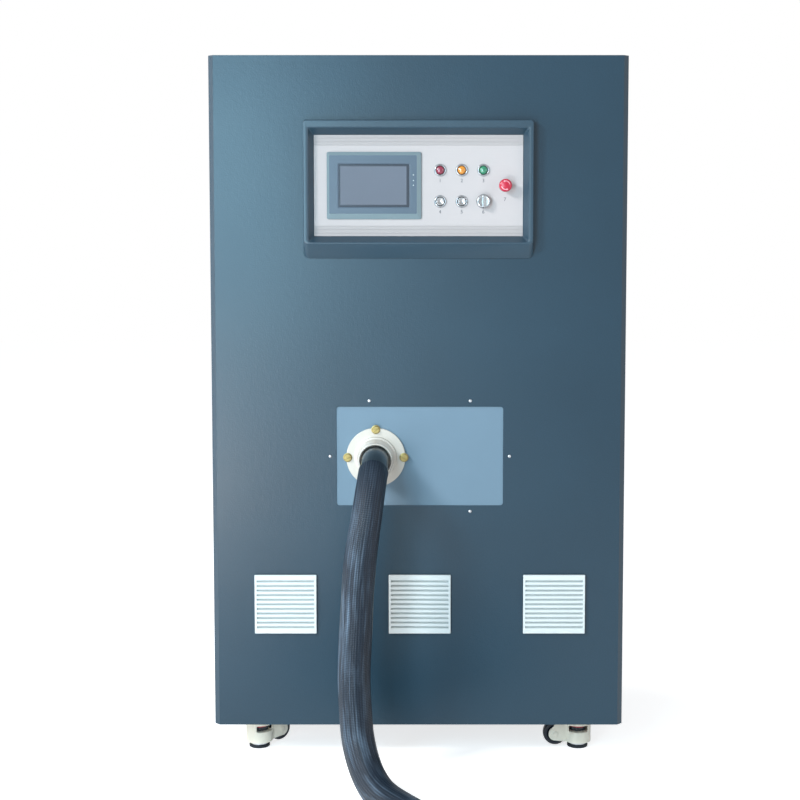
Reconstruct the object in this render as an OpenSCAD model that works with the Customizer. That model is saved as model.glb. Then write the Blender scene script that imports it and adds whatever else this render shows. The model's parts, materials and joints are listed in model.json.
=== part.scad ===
// Induction heating machine: a steel cabinet on levelling casters with an operator console,
// a flanged cable outlet with its braided output cable, and the power section inside.
// Origin: on the floor, in the middle of the cabinet's footprint. +X right, -Y front, +Z up.

/* [Cabinet] */
// Width of the cabinet across its front
body_w = 980; // [900:10:1100]
// Depth of the cabinet from the front sheet to the rear door
body_d = 700; // [660:10:800]
// Height of the front sheet
panel_h = 1590; // [1540:10:1700]
// Height of the front sheet's lower edge above the floor
panel_low = 85; // [78:1:92]
// Thickness of the cabinet's steel sheets
sheet_t = 2; // [1.5:0.5:3]
// Size of the slanting edge at each side of the front sheet
edge_slant = 12; // [8:1:16]
// How far the front sheet folds back along the cabinet's sides
side_fold = 34; // [30:1:44]
// Outside width of the frame's square tubes
post_w = 40; // [32:2:46]
// Wall of the frame's square tubes
tube_t = 3; // [2:0.5:4]
// Thickness of the base plate
base_t = 4; // [3:0.5:6]
// Height of the base plate's upstand at the rear
upstand_h = 150; // [130:5:180]

/* [Console] */
// Width of the raised console frame
console_w = 538; // [520:2:600]
// Height of the raised console frame
console_h = 322; // [310:2:360]
// How far the console frame lies below the front sheet's top edge
console_drop = 149; // [120:1:180]
// How far the console frame stands out of the front sheet
console_reach = 28; // [22:1:36]
// Width of the aluminium face
face_w = 488; // [484:2:496]
// Height of the aluminium face
face_h = 235; // [228:1:240]
// Thickness of the aluminium face
face_t = 4; // [3:0.5:5]
// Width of the touchscreen's housing
screen_w = 221; // [210:1:224]
// Height of the touchscreen's housing
screen_h = 156; // [150:1:160]
// How far the touchscreen stands out of the face
screen_reach = 9; // [6:1:12]
// Height between the two rows of operators
row_gap = 72.5; // [60:0.5:76]
// Radius of an operator's ring
ring_r = 14.5; // [13:0.5:16]
// Radius of the emergency button's mushroom head
mushroom_r = 15; // [14:0.5:20]
// Radius of the power knob
knob_r = 16.5; // [14:0.5:18]

/* [Cable outlet] */
// Width of the outlet window in the front sheet
window_w = 395; // [380:1:420]
// Height of the outlet window
window_h = 236; // [224:1:250]
// Height of the window's middle above the front sheet's lower edge
window_z = 651; // [640:1:680]
// Thickness of the insulating outlet board
board_t = 5; // [4:0.5:8]
// Radius of the outlet flange
flange_r = 70; // [68:1:74]
// Thickness of the outlet flange's disc
flange_t = 8; // [6:0.5:12]
// How far the outlet flange's neck stands out of the front sheet
neck_reach = 60; // [54:1:64]
// Radius of the circle of screws that holds the flange
flange_bolt_r = 66.5; // [66:0.5:68]
// Radius of the rubber tube round the cable's start
tube_r = 31.5; // [30:0.5:33]

/* [Intake grilles] */
// Width of an intake grille
grille_w = 148.5; // [140:0.5:156]
// Height of an intake grille
grille_h = 144.5; // [138:0.5:152]
// Spacing of the intake grilles
grille_pitch = 320.3; // [300:0.1:330]
// Height of the grilles' middle above the front sheet's lower edge
grille_z = 295; // [260:1:320]
// How far a grille stands out of the front sheet
grille_reach = 9; // [6:1:12]
// Number of slats in a grille
slat_count = 11; // [9:1:13]

/* [Casters] */
// Height of the base plate's underside above the floor
caster_h = 104; // [100:1:112]
// Width of a caster's mounting plate
plate_w = 90; // [86:1:100]
// Radius of a caster's wheel
wheel_r = 29.5; // [26:0.5:30]
// Width of a caster's wheel
wheel_w = 24; // [20:1:26]
// Distance from a caster's swivel axis to its wheel's axle
trail = 56; // [56:1:58]
// Radius of a levelling foot's pad
pad_r = 25.5; // [22:0.5:26]
// Radius of a caster's axle
axle_r = 4; // [3:0.5:5]
// Distance from the cabinet's side to a caster's swivel axis
caster_side = 97; // [92:1:120]
// Distance from the cabinet's front or rear to a caster's swivel axis
caster_end = 100; // [96:1:130]
// Height of the wheels above the floor while the feet carry the machine
wheel_lift = 4.5; // [3:0.5:6]

/* [Power section] */
// Distance from the front sheet to the mounting plate
plate_y = 330; // [320:5:380]
// Width of the heat sink
sink_w = 320; // [300:10:360]
// Height of the heat sink
sink_h = 380; // [360:10:420]
// Length of the heat sink's fins
fin_l = 60; // [40:5:80]
// Number of fins on the heat sink
fin_count = 17; // [13:1:21]
// Radius of a filter capacitor's can
can_r = 38; // [30:1:42]
// Height of a filter capacitor's can
can_h = 130; // [100:5:160]
// Width of the reactor's core
core_w = 260; // [240:10:300]
// Height of the reactor's core
core_h = 240; // [220:10:300]
// Depth of the reactor's core
core_d = 90; // [70:5:110]
// Side of the exhaust fan's square frame
fan_w = 254; // [240:2:280]
// Radius of the mains gland's bore
gland_r = 16; // [12:0.5:18]

/* [Output cable] */
// Radius of the output cable
cable_r = 36; // [34:0.5:37]
// Radius of the coil's outer turn
coil_r = 400; // [390:5:440]
// Number of turns in the coil
coil_turns = 1.45; // [1.3:0.05:1.5]

/* [Hidden] */
$fn = 64;

// Overrun of every cut past the faces that it opens
over = 1;
// Gap between a fixed piece and its seat
seat = 0.3;
// Gap round a piece that turns or slides
run = 0.3;
// Visible joint between two covers
seam = 2;
// Hole radius over the radius of the screw in it
hole_gap = 0.3;
paint = "#2f4354";
ivory = "#e9e4d2";
zinc = "#c8ccd0";

// How far the mains gland stands out behind, the furthest piece at the rear
rear_reach = 40;
front_y = -(body_d + neck_reach + rear_reach) / 2 + neck_reach;
back_y = front_y + body_d;
half_w = body_w / 2;
panel_top = panel_low + panel_h;
base_top = caster_h + base_t;
inner_y = front_y + sheet_t;

// Cover folds and door
cover_fold = 24;
rear_fold = 30;
door_depth = 18;
door_gap = 3;
covers_top = panel_top - cover_fold - seam;
door_half = half_w - rear_fold - door_gap;
door_low = caster_h + upstand_h + door_gap;
door_top = covers_top - door_gap;

// Frame tubes
post_x = half_w - sheet_t - post_w;
front_post_y = front_y + edge_slant + sheet_t + seam;
rear_post_y = back_y - door_depth - door_gap - post_w;
rail_low_share = 0.2;
rail_high_share = 0.8;
frame_top = panel_top - sheet_t;
striker_t = 3;
striker_w = 18;
striker_h = 40;

// Hinges
hinge_count = 3;
hinge_h = 90;
hinge_leaf = 26;
hinge_t = 3;
knuckle_r = 6;
hinge_pin_r = 3;
hinge_x = half_w - rear_fold - door_gap / 2;
hinge_y = back_y + knuckle_r;
hinge_end_share = 0.12;
knuckle_gap = 0.5;

// Door lock
lock_in = 45;
lock_r = 10;
lock_shaft_r = 6;
rosette_r = 17;
rosette_t = 4;
handle_l = 60;
handle_w = 10;
handle_t = 9;
cam_l = 34;
cam_w = 14;
cam_t = 3;
lock_x = -door_half + lock_in;
lock_z = (door_low + door_top) / 2;
cam_y = rear_post_y + post_w / 2;

// Louvres in the door, in two columns below the fan
louvre_count = 7;
louvre_w = 150;
louvre_h = 6;
louvre_pitch = 26;
louvre_x = 130;
louvre_z = 330;

// Console: rim, chin and the rectangle of the face
console_top = panel_top - console_drop;
console_low = console_top - console_h;
wall_lean = 2;
rim_w = 11;
rim_top_w = 18;
rim_low_w = 3;
chin_h = 35;
face_rise = 169.5;
face_z = console_low + face_rise;
face_lap = 18;
face_front = front_y - face_t;
groove_band = 24;
groove_w = 1.2;
groove_depth = 0.8;
groove_count = 3;
groove_pitch = 8.5;

// Touchscreen: uneven bevels round its inner face, screen recess and rear case
screen_in = 30;
screen_x = -face_w / 2 + screen_in + screen_w / 2;
bevel_left = 6;
bevel_top = 8;
bevel_right = 11;
bevel_low = 12.5;
glass_w = 163;
glass_h = 98;
glass_t = 2.5;
glass_rise = 1;
case_w = 196;
case_h = 134;
case_d = 42;

// Operators: columns count from the first ring, rows are one above the other
operator_room = face_w / 2 - screen_x - screen_w / 2;
operator_first_share = 0.1835;
operator_last_share = 0.1772;
operator_pitch = operator_room * (1 - operator_first_share - operator_last_share) / 3;
operator_x = face_w / 2 - operator_room * (1 - operator_first_share);
barrel_r = 11;
barrel_d = 22;
ring_t = 4.5;
ring_bore = 9.6;
lens_r = 9.3;
dome_h = 3;
cap_r = 9.3;
cap_t = 5.5;
press_depth = 3;
stem_r = 5;
block_w = 30;
block_d = 34;
lamp_z = face_z + row_gap / 2 - seat;
button_z = face_z - row_gap / 2 - seat;
emergency_x = operator_x + 3 * operator_pitch;
mushroom_t = 9;
mushroom_dome = 5;
neck_r = 9;
neck_h = 13;
emergency_depth = 5;
knob_t = 12;
grip_w = 7;
grip_h = 7;

// Outlet: the window, grilles and flange sit a little right of the cabinet's middle
outlet_x = 3;
window_mid = panel_low + window_z;
window_r = 7;
board_w = 450;
board_h = 290;
board_screw_x = 119.5;
board_screw_z = 132;
board_screw_side = 212.5;
small_screw_r = 2;
small_head_r = 3.8;
small_head_t = 2.4;
flange_dx = -104;
flange_dz = -2;
flange_x = outlet_x + flange_dx;
flange_z = window_mid + flange_dz;
boss_r = 49;
boss_t = 9;
neck_root_r = 44;
neck_mouth_r = 40;
mouth_r = 36;
mouth_d = 30;
flange_screw_r = 4;
flange_head_r = 9.5;
flange_head_t = 6;
washer_r = 10.8;
washer_t = 1.6;
tube_inside = 60;
tube_wall = 5;
board_y = inner_y;
flange_y = board_y;

// Grilles
grille_lap = 12;
grille_margin = 10;
slat_share = 0.62;
grille_back = 14;

// Casters
caster_plate_t = 6;
bolt_span = 70;
bolt_r = 4;
bolt_head_r = 7;
bolt_head_t = 5;
kingpin_r = 9;
kingpin_head_r = 13;
kingpin_head_t = 3;
fork_top_r = 40;
fork_top_t = 12;
housing_r = 33;
housing_wall = 4;
housing_low = 14;
pad_t = 8;
pad_steel_t = 4;
pad_steel_r = 21;
screw_r = 7;
cell_t = 8;
dial_r = 21;
dial_t = 14;
dial_gap = 0.5;
dial_notches = 16;
notch_r = 1.6;
cheek_t = 5;
lobe_r = 17;
well_w = 46;
// How far a foot can rise into its housing, and the room left above it there
foot_up = 12;
foot_room = 10;
cell_low = pad_t + pad_steel_t + foot_up + foot_room;
axle_z = wheel_lift + wheel_r;
axle_head_r = 6;
axle_head_t = 2;
tread_w = 6;
caster_x = half_w - caster_side;
front_caster_y = front_y + caster_end;
rear_caster_y = back_y - caster_end;
// Each caster: its place and how far its fork has swivelled
CASTERS = [
    [-caster_x, front_caster_y, -140],
    [caster_x, front_caster_y, 0],
    [-caster_x, rear_caster_y, 90],
    [caster_x, rear_caster_y, 40]
];

// Power section
mount_front = front_y + plate_y;
mount_t = 3;
mount_low_share = 0.14;
mount_high_share = 0.86;
mount_low = base_top + (frame_top - base_top) * mount_low_share;
mount_high = base_top + (frame_top - base_top) * mount_high_share;
mount_half = post_x;
sink_base = 20;
fin_t = 3;
sink_z = 640;
sink_x = -110;
module_w = 62;
module_h = 108;
module_t = 30;
module_pitch_x = 124;
module_pitch_z = 150;
module_pad_w = 14;
module_pad_t = 4;
module_margin = 14;
can_rows = 2;
can_columns = 3;
can_gap = 10;
can_x = 90;
can_y = 150;
can_post_r = 6;
can_post_h = 12;
core_leg = 60;
core_in = 130;
core_x = -half_w + core_in;
core_y = 150;
winding_gap = 1;
winding_t = 24;
pcb_w = 300;
pcb_h = 200;
pcb_t = 1.6;
pcb_in = 110;
pcb_x = -half_w + pcb_in;
pcb_z = 1080;
pcb_standoff = 15;
pcb_standoff_r = 4;
pcb_inset = 10;
chip_w = 40;
chip_h = 6;
relay_w = 28;
relay_h = 20;
breaker_w = 105;
breaker_h = 165;
breaker_d = 86;
breaker_x = 200;
breaker_z = 760;
slot_w = 24;
slot_h = 60;
slot_d = 24;
toggle_pin_r = 3;
toggle_hub_r = 8;
toggle_l = 34;
toggle_w = 18;
toggle_t = 8;
toggle_tilt = 30;

// Exhaust fan on the door
fan_x = 0;
fan_rise = 190;
fan_z = door_top - fan_rise;
fan_d = 70;
fan_wall = 9;
fan_hole_r = fan_w / 2 - fan_wall;
motor_r = 42;
motor_l = 22;
strut_w = 10;
hub_r = 44;
hub_l = 34;
blade_count = 7;
blade_t = 2.5;
blade_tilt = 35;
blade_chord = 44;
blade_gap = 5;
fan_shaft_r = 4;
fan_shaft_l = 20;
guard_w = 3.5;
guard_rings = 5;
guard_rim = 6;

// Mains gland
gland_hex_r = 31;
gland_hex_t = 12;
gland_thread_r = 25;
gland_cap_r = 27;
gland_nut_t = 8;
gland_x = 300;
gland_z = caster_h + 80;

// Route of the output cable, from the flange's mouth to the start of its coil
coil_from = [100, -911, 37];
// The coil starts where the route ends, in the direction of its last stretch
coil_start = 50;
start_dir = [sin(coil_start), -cos(coil_start), 0];
last_stretch = 68;
ROUTE = [
    [-101, -402, 734], [-101, -430, 734], [-102, -463, 725], [-105, -502, 704],
    [-110, -534, 671], [-116, -555, 629], [-123, -562, 584], [-130, -563, 530],
    [-135, -562, 470], [-139, -561, 400], [-143, -560, 330], [-145, -559, 260],
    [-142, -562, 190], [-136, -572, 131], [-121, -601, 81], [-98, -644, 48],
    [-72, -695, 37], [-37, -756, 37], [3, -813, 37],
    coil_from - last_stretch * start_dir, coil_from
];
cable_sides = 10;
// The coil runs straight for one cable diameter and winds inwards
coil_pitch = 79;
coil_draw_turn = 0.95;
coil_draw = 440;
coil_sides = 6;
coil_rings_per_turn = 24;
coil_lead = 2 * cable_r;
coil_mid = coil_from + coil_lead * start_dir - coil_r * [cos(coil_start), sin(coil_start), 0];
coil_rings = ceil(coil_turns * coil_rings_per_turn);

function coil_radius(n) = coil_r - coil_pitch * n - coil_draw * pow(max(0, n - coil_draw_turn), 2);
function coil_point(n) =
    coil_mid + coil_radius(n) * [cos(coil_start - 360 * n), sin(coil_start - 360 * n), 0];
WOUND = [for (i = [0:coil_rings]) coil_point(coil_turns * i / coil_rings)];
coil_end = WOUND[coil_rings];
end_dir = unit(coil_end - WOUND[coil_rings - 1]);
COIL = concat([coil_from], WOUND, [coil_end + coil_lead * end_dir]);

// Connector on the cable's far end
connector_l = 90;
connector_w = 84;
connector_h = 66;
lug_w = 30;
lug_t = 6;
lug_l = 62;
lug_gap = 44;
lug_hole_r = 5.25;
lug_hole_in = 15;
connector_from = coil_end + coil_lead * end_dir;
connector_turn = atan2(end_dir[1], end_dir[0]);

function unit(v) = v / norm(v);

// Direction of a path at one of its points
function heading(path, i) =
    unit(path[min(i + 1, len(path) - 1)] - path[max(i - 1, 0)]);

// One ring of a tube, square to its path; flat is a direction that the path never takes
function ring(at, dir, r, sides, flat) =
    let (u = unit(cross(dir, flat)), v = cross(dir, u))
    [for (k = [0:sides - 1])
        at + r * (cos(360 * (k + 0.5) / sides) * u + sin(360 * (k + 0.5) / sides) * v)];

// A closed tube along a path
module swept_tube(path, r, sides, flat) {
    n = len(path);
    points = [for (i = [0:n - 1]) each ring(path[i], heading(path, i), r, sides, flat)];
    walls = [for (i = [0:n - 2]) for (k = [0:sides - 1])
        let (a = i * sides + k, b = i * sides + (k + 1) % sides)
        each [[a, a + sides, b], [b, a + sides, b + sides]]];
    first = [[for (k = [0:sides - 1]) k]];
    last = [[for (k = [0:sides - 1]) n * sides - 1 - k]];
    polyhedron(points, concat(first, walls, last));
}

// Least gap between stretches of the coil that lie a half turn or more apart
half_turn = coil_rings_per_turn / 2;
GAPS = [for (i = [0:len(COIL) - 1]) for (j = [i + half_turn:1:len(COIL) - 1])
    norm(COIL[i] - COIL[j]) - 2 * cable_r];
echo(least_gap_in_coil = min(GAPS));

// Four corners of an upright rectangle at depth y
function corners(x0, x1, z0, z1, y) = [[x0, y, z0], [x1, y, z0], [x1, y, z1], [x0, y, z1]];

// A solid between rectangles of four corners, each behind the one before
module stacked(loops) {
    n = len(loops);
    walls = [for (i = [0:n - 2]) for (k = [0:3])
        let (a = 4 * i + k, b = 4 * i + (k + 1) % 4)
        each [[a, b, a + 4], [b, b + 4, a + 4]]];
    last = 4 * (n - 1);
    polyhedron(
        [for (loop = loops) each loop],
        concat([[3, 2, 1, 0]], walls, [[last, last + 1, last + 2, last + 3]])
    );
}

// A frame whose section goes round the given rectangles and closes on the first
module framed(loops) {
    n = len(loops);
    polyhedron(
        [for (loop = loops) each loop],
        [for (i = [0:n - 1]) for (k = [0:3])
            let (a = 4 * i + k, b = 4 * i + (k + 1) % 4, c = 4 * ((i + 1) % n) + k,
                d = 4 * ((i + 1) % n) + (k + 1) % 4)
            each [[a, c, b], [b, c, d]]]
    );
}

// A box from one corner to the other
module block(low, high) {
    translate(low) cube(high - low);
}

// A box of width w and height h about [x, z], reaching back by t from depth y
module upright(x, y, z, w, h, t) {
    translate([x - w / 2, y, z - h / 2]) cube([w, t, h]);
}

// A cylinder along +X, +Y or +Z from the given point
module rod_x(at, r, l) {
    translate(at) rotate([0, 90, 0]) cylinder(r = r, h = l);
}

module rod_y(at, r, l) {
    translate(at) rotate([-90, 0, 0]) cylinder(r = r, h = l);
}

module rod_z(at, r, l) {
    translate(at) cylinder(r = r, h = l);
}

// A hexagon along +Y and along +Z
module hex_y(at, r, l) {
    translate(at) rotate([-90, 0, 0]) cylinder(r = r, h = l, $fn = 6);
}

module hex_z(at, r, l) {
    translate(at) cylinder(r = r, h = l, $fn = 6);
}

// A flat rectangle with round corners, about its middle
module rounded(w, h, r) {
    square([w - 2 * r, h], center = true);
    square([w, h - 2 * r], center = true);
    for (x = [-1, 1]) for (z = [-1, 1])
        translate([x * (w / 2 - r), z * (h / 2 - r)]) circle(r = r);
}

// The same rectangle as an upright slab, from depth y, centred at x and z
module upright_slab(x, y, z, w, h, r, t) {
    translate([x, y + t, z]) rotate([90, 0, 0]) linear_extrude(t) rounded(w, h, r);
}

// A square tube from one corner to the other, open along axis 0, 1 or 2
module square_tube(low, high, axis) {
    wall = [for (k = [0:2]) k == axis ? -over : tube_t];
    difference() {
        block(low, high);
        block(low + wall, high - wall);
    }
}

// Six places of the small screws round the outlet window
BOARD_SCREWS = [
    [-board_screw_x, board_screw_z], [board_screw_x, board_screw_z],
    [-board_screw_side, 0], [board_screw_side, 0],
    [-board_screw_x, -board_screw_z], [board_screw_x, -board_screw_z]
];
// The seven operators as [x, z]: three lamps, two buttons, the knob and the emergency button
OPERATORS = concat(
    [for (k = [0:2]) [operator_x + k * operator_pitch, lamp_z]],
    [for (k = [0:2]) [operator_x + k * operator_pitch, button_z]],
    [[emergency_x, face_z]]
);
// Middles of the grilles as [x, z], and of the flange's screws
grille_mid = panel_low + grille_z;
GRILLES = [for (k = [-1:1]) [outlet_x + k * grille_pitch, grille_mid]];
FLANGE_SCREWS = [for (a = [0:90:270])
    [flange_x + flange_bolt_r * sin(a), flange_z + flange_bolt_r * cos(a)]];

// What the front sheet's slanted corner leaves out of the base plate
module plate_corner(side) {
    cut = edge_slant + sheet_t;
    translate([0, 0, caster_h - over]) linear_extrude(base_t + 2 * over) polygon([
        [side * (half_w + over), front_y - over], [side * (half_w - cut), front_y - over],
        [side * (half_w - cut), inner_y], [side * (half_w - sheet_t), front_y + cut],
        [side * (half_w + over), front_y + cut]
    ]);
}

module base_plate() {
    corner = rear_fold + door_gap;
    color(paint) difference() {
        union() {
            block([-half_w + sheet_t, inner_y, caster_h], [half_w - sheet_t, back_y, base_top]);
            block(
                [-half_w + corner, back_y - base_t, caster_h],
                [half_w - corner, back_y, caster_h + upstand_h]
            );
        }
        for (side = [-1, 1]) plate_corner(side);
        for (x = [-half_w, half_w - corner]) block(
            [x, back_y - sheet_t - seam, caster_h - over],
            [x + corner, back_y + over, base_top + over]
        );
        rod_y([gland_x, back_y - base_t - over, gland_z],
            gland_thread_r + hole_gap, base_t + 2 * over);
        for (c = CASTERS) for (b = BOLTS)
            rod_z([c[0] + b[0], c[1] + b[1], caster_h - over], bolt_r + hole_gap, base_t + 2 * over);
    }
}

module frame() {
    rail_front = front_post_y + post_w;
    color("#3b4652") {
        for (x = [-post_x - post_w, post_x]) {
            for (y = [front_post_y, rear_post_y])
                square_tube([x, y, base_top], [x + post_w, y + post_w, frame_top], 2);
            for (z = [frame_top - post_w, base_top,
                    base_top + (frame_top - base_top) * rail_low_share,
                    base_top + (frame_top - base_top) * rail_high_share])
                square_tube([x, rail_front, z], [x + post_w, rear_post_y, z + post_w], 1);
        }
        for (y = [front_post_y, rear_post_y])
            square_tube(
                [-post_x, y, frame_top - post_w], [post_x, y + post_w, frame_top], 0);
        block(
            [-post_x, cam_y + cam_t + seat, lock_z - striker_h / 2],
            [-post_x + striker_w, cam_y + cam_t + seat + striker_t, lock_z + striker_h / 2]
        );
    }
}

// Outline of the front sheet seen from above, without and with its wall
module front_outline(inset) {
    s = edge_slant + inset * (sqrt(2) - 1) - inset;
    w = half_w - inset;
    y0 = front_y + inset;
    y1 = front_y + side_fold + (inset > 0 ? over : 0);
    polygon([[-w, y1], [-w, y0 + s], [-w + s, y0], [w - s, y0], [w, y0 + s], [w, y1]]);
}

module front_panel() {
    cut = sheet_t + 2 * over;
    y = front_y - over;
    color(paint) difference() {
        translate([0, 0, panel_low]) linear_extrude(panel_h) front_outline(0);
        translate([0, 0, panel_low - over])
            linear_extrude(panel_h - sheet_t + over) front_outline(sheet_t);
        upright(0, y, face_z, face_w - 2 * face_lap, face_h - 2 * face_lap, cut);
        upright_slab(outlet_x, y, window_mid, window_w, window_h, window_r, cut);
        for (g = GRILLES)
            upright(g[0], y, g[1], grille_w - 2 * grille_lap, grille_h - 2 * grille_lap, cut);
        for (s = BOARD_SCREWS)
            rod_y([outlet_x + s[0], y, window_mid + s[1]], small_screw_r + hole_gap, cut);
    }
}

// A side sheet with its fold round the rear corner; side is -1 or 1
module side_sheet(side) {
    outer = side * half_w;
    front = front_y + side_fold + seam;
    color(paint) translate([0, 0, panel_low]) linear_extrude(covers_top - panel_low) polygon([
        [outer, front], [outer, back_y], [outer - side * rear_fold, back_y],
        [outer - side * rear_fold, back_y - sheet_t], [outer - side * sheet_t, back_y - sheet_t],
        [outer - side * sheet_t, front]
    ]);
}

module left_side_panel() {
    side_sheet(-1);
}

module right_side_panel() {
    side_sheet(1);
}

module top_cover() {
    front = front_y + side_fold + seam;
    color(paint) difference() {
        block([-half_w, front, panel_top - cover_fold], [half_w, back_y, panel_top]);
        block(
            [-half_w + sheet_t, front - over, panel_top - cover_fold - over],
            [half_w - sheet_t, back_y - sheet_t, panel_top - sheet_t]
        );
    }
}

// Heights of the hinges' middles
HINGES = [for (k = [0:hinge_count - 1])
    door_low + (door_top - door_low)
        * (hinge_end_share + (1 - 2 * hinge_end_share) * k / (hinge_count - 1))];
knuckle_h = hinge_h / 3;

module rear_door() {
    cut = sheet_t + 2 * over;
    y = back_y - sheet_t - over;
    tall = door_top - door_low;
    color(paint) {
        difference() {
            upright(0, back_y - door_depth, lock_z, 2 * door_half, tall, door_depth);
            upright(0, back_y - door_depth - over, lock_z, 2 * (door_half - sheet_t),
                tall - 2 * sheet_t, door_depth - sheet_t + over);
            rod_y([fan_x, y, fan_z], fan_hole_r, cut);
            rod_y([lock_x, y, lock_z], lock_r, cut);
            for (x = [-1, 1]) for (k = [0:louvre_count - 1])
                upright_slab(x * louvre_x, y, door_low + louvre_z + k * louvre_pitch,
                    louvre_w, louvre_h, louvre_h / 3, cut);
        }
        for (z = HINGES) difference() {
            union() {
                upright(hinge_x - (hinge_leaf + knuckle_r) / 2, back_y, z,
                    hinge_leaf - knuckle_r, hinge_h, hinge_t);
                upright(hinge_x - hinge_leaf / 2, back_y, z,
                    hinge_leaf, knuckle_h - 2 * knuckle_gap, hinge_t);
                rod_z([hinge_x, hinge_y, z - knuckle_h / 2 + knuckle_gap],
                    knuckle_r, knuckle_h - 2 * knuckle_gap);
            }
            rod_z([hinge_x, hinge_y, z - hinge_h / 2 - over], hinge_pin_r + run, hinge_h + 2 * over);
        }
    }
    color(zinc) difference() {
        union() {
            rod_y([lock_x, back_y, lock_z], rosette_r, rosette_t);
            rod_y([lock_x, back_y - door_depth, lock_z], lock_r - hole_gap, door_depth + seat);
        }
        rod_y([lock_x, back_y - door_depth - over, lock_z],
            lock_shaft_r + run, door_depth + rosette_t + 2 * over);
    }
}

module door_hinges() {
    color(zinc) for (z = HINGES) {
        upright(hinge_x + (hinge_leaf + knuckle_r) / 2, back_y, z,
            hinge_leaf - knuckle_r, hinge_h, hinge_t);
        for (k = [-1, 1]) {
            mid = z + k * knuckle_h;
            rod_z([hinge_x, hinge_y, mid - knuckle_h / 2], knuckle_r, knuckle_h);
            upright(hinge_x + hinge_leaf / 2, back_y, mid, hinge_leaf, knuckle_h, hinge_t);
        }
        rod_z([hinge_x, hinge_y, z - hinge_h / 2], hinge_pin_r, hinge_h);
    }
}

module door_lock() {
    grip_y = back_y + rosette_t + seat;
    color(zinc) union() {
        rod_y([lock_x, cam_y, lock_z], lock_shaft_r, grip_y - cam_y + handle_t);
        upright_slab(lock_x, grip_y, lock_z, handle_w, handle_l, handle_w / 3, handle_t);
        upright(lock_x, cam_y, lock_z - cam_l / 2 + cam_w / 4, cam_w, cam_l + cam_w / 2, cam_t);
    }
}

module control_bezel() {
    w0 = console_w / 2;
    w1 = w0 - wall_lean;
    w2 = w1 - rim_w;
    w3 = face_w / 2 + seat;
    z3 = face_h / 2 + seat;
    out_y = front_y - console_reach;
    color(paint) framed([
        corners(-w0, w0, console_low, console_top, front_y),
        corners(-w1, w1, console_low + chin_h, console_top - wall_lean, out_y),
        corners(-w2, w2, console_low + chin_h + rim_low_w, console_top - wall_lean - rim_top_w, out_y),
        corners(-w3, w3, face_z - z3, face_z + z3, face_front),
        corners(-w3, w3, face_z - z3, face_z + z3, front_y)
    ]);
}

module control_faceplate() {
    y = face_front - over;
    cut = face_t + 2 * over;
    color("#d9dcdf") difference() {
        upright(0, face_front, face_z, face_w, face_h, face_t);
        upright(screen_x, y, face_z, case_w + 2 * seat, case_h + 2 * seat, cut);
        for (p = OPERATORS) rod_y([p[0], y, p[1]], barrel_r + hole_gap, cut);
        for (side = [-1, 1]) for (k = [0:groove_count - 1]) upright(
            0, y, face_z + side * (face_h / 2 - groove_band + k * groove_pitch),
            face_w + 2 * over, groove_w, groove_depth + over
        );
    }
}

module touchscreen_housing() {
    x0 = screen_x - screen_w / 2;
    x1 = screen_x + screen_w / 2;
    z0 = face_z - screen_h / 2;
    z1 = face_z + screen_h / 2;
    out_y = face_front - screen_reach;
    color("#71879a") difference() {
        union() {
            stacked([
                corners(x0 + bevel_left, x1 - bevel_right, z0 + bevel_low, z1 - bevel_top, out_y),
                corners(x0, x1, z0, z1, face_front - screen_reach / 3),
                corners(x0, x1, z0, z1, face_front)
            ]);
            upright(screen_x, face_front - over, face_z, case_w, case_h, case_d + over);
        }
        upright(screen_x, out_y - over, face_z, glass_w + 2 * seat, glass_h + 2 * seat,
            glass_t + glass_rise + over);
    }
}

module touchscreen_glass() {
    color("#27333f")
        upright(screen_x, face_front - screen_reach + glass_rise, face_z, glass_w, glass_h, glass_t);
}

module operator_bezels() {
    color("#c9ccce") for (i = [0:len(OPERATORS) - 1]) {
        p = OPERATORS[i];
        bore = i < 3 ? lens_r + seat : i < 5 ? ring_bore : stem_r + run;
        difference() {
            union() {
                rod_y([p[0], face_front - ring_t, p[1]], ring_r, ring_t);
                rod_y([p[0], face_front - over, p[1]], barrel_r, barrel_d + over);
            }
            rod_y([p[0], face_front - ring_t - over, p[1]], bore, ring_t + barrel_d + 2 * over);
        }
    }
}

// A lamp's lens: a plug in the ring with a shallow dome, and a foot on the contact block
module lamp_lens(column, tint) {
    p = OPERATORS[column];
    dome_r = (lens_r * lens_r + dome_h * dome_h) / (2 * dome_h);
    front = face_front - ring_t;
    color(tint) union() {
        rod_y([p[0], front, p[1]], lens_r, ring_t + barrel_d);
        intersection() {
            translate([p[0], front - dome_h + dome_r, p[1]]) sphere(r = dome_r);
            rod_y([p[0], front - dome_h - over, p[1]], lens_r, dome_h + 2 * over);
        }
    }
}

module red_lamp_lens() {
    lamp_lens(0, "#9c1f3a");
}

module amber_lamp_lens() {
    lamp_lens(1, "#e3992b");
}

module green_lamp_lens() {
    lamp_lens(2, "#12996d");
}

// A push button: a cap in the ring on a stem that ends short of the contact block
module push_button(column) {
    p = OPERATORS[3 + column];
    front = face_front - ring_t - press_depth / 2;
    color("#b9bcbe") union() {
        rod_y([p[0], front, p[1]], cap_r, cap_t + press_depth);
        rod_y([p[0], front, p[1]], stem_r, ring_t + press_depth / 2 + barrel_d - press_depth - seat);
    }
}

module stop_button() {
    push_button(0);
}

module start_button() {
    push_button(1);
}

module power_knob() {
    p = OPERATORS[5];
    front = face_front - ring_t - run - knob_t;
    color("#d2d4d6") union() {
        rod_y([p[0], front, p[1]], knob_r, knob_t);
        upright_slab(p[0], front - grip_h, p[1], grip_w, 2 * knob_r - grip_w, grip_w / 3, grip_h + over);
        rod_y([p[0], front, p[1]], stem_r, knob_t + run + ring_t + barrel_d - seat);
    }
}

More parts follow.
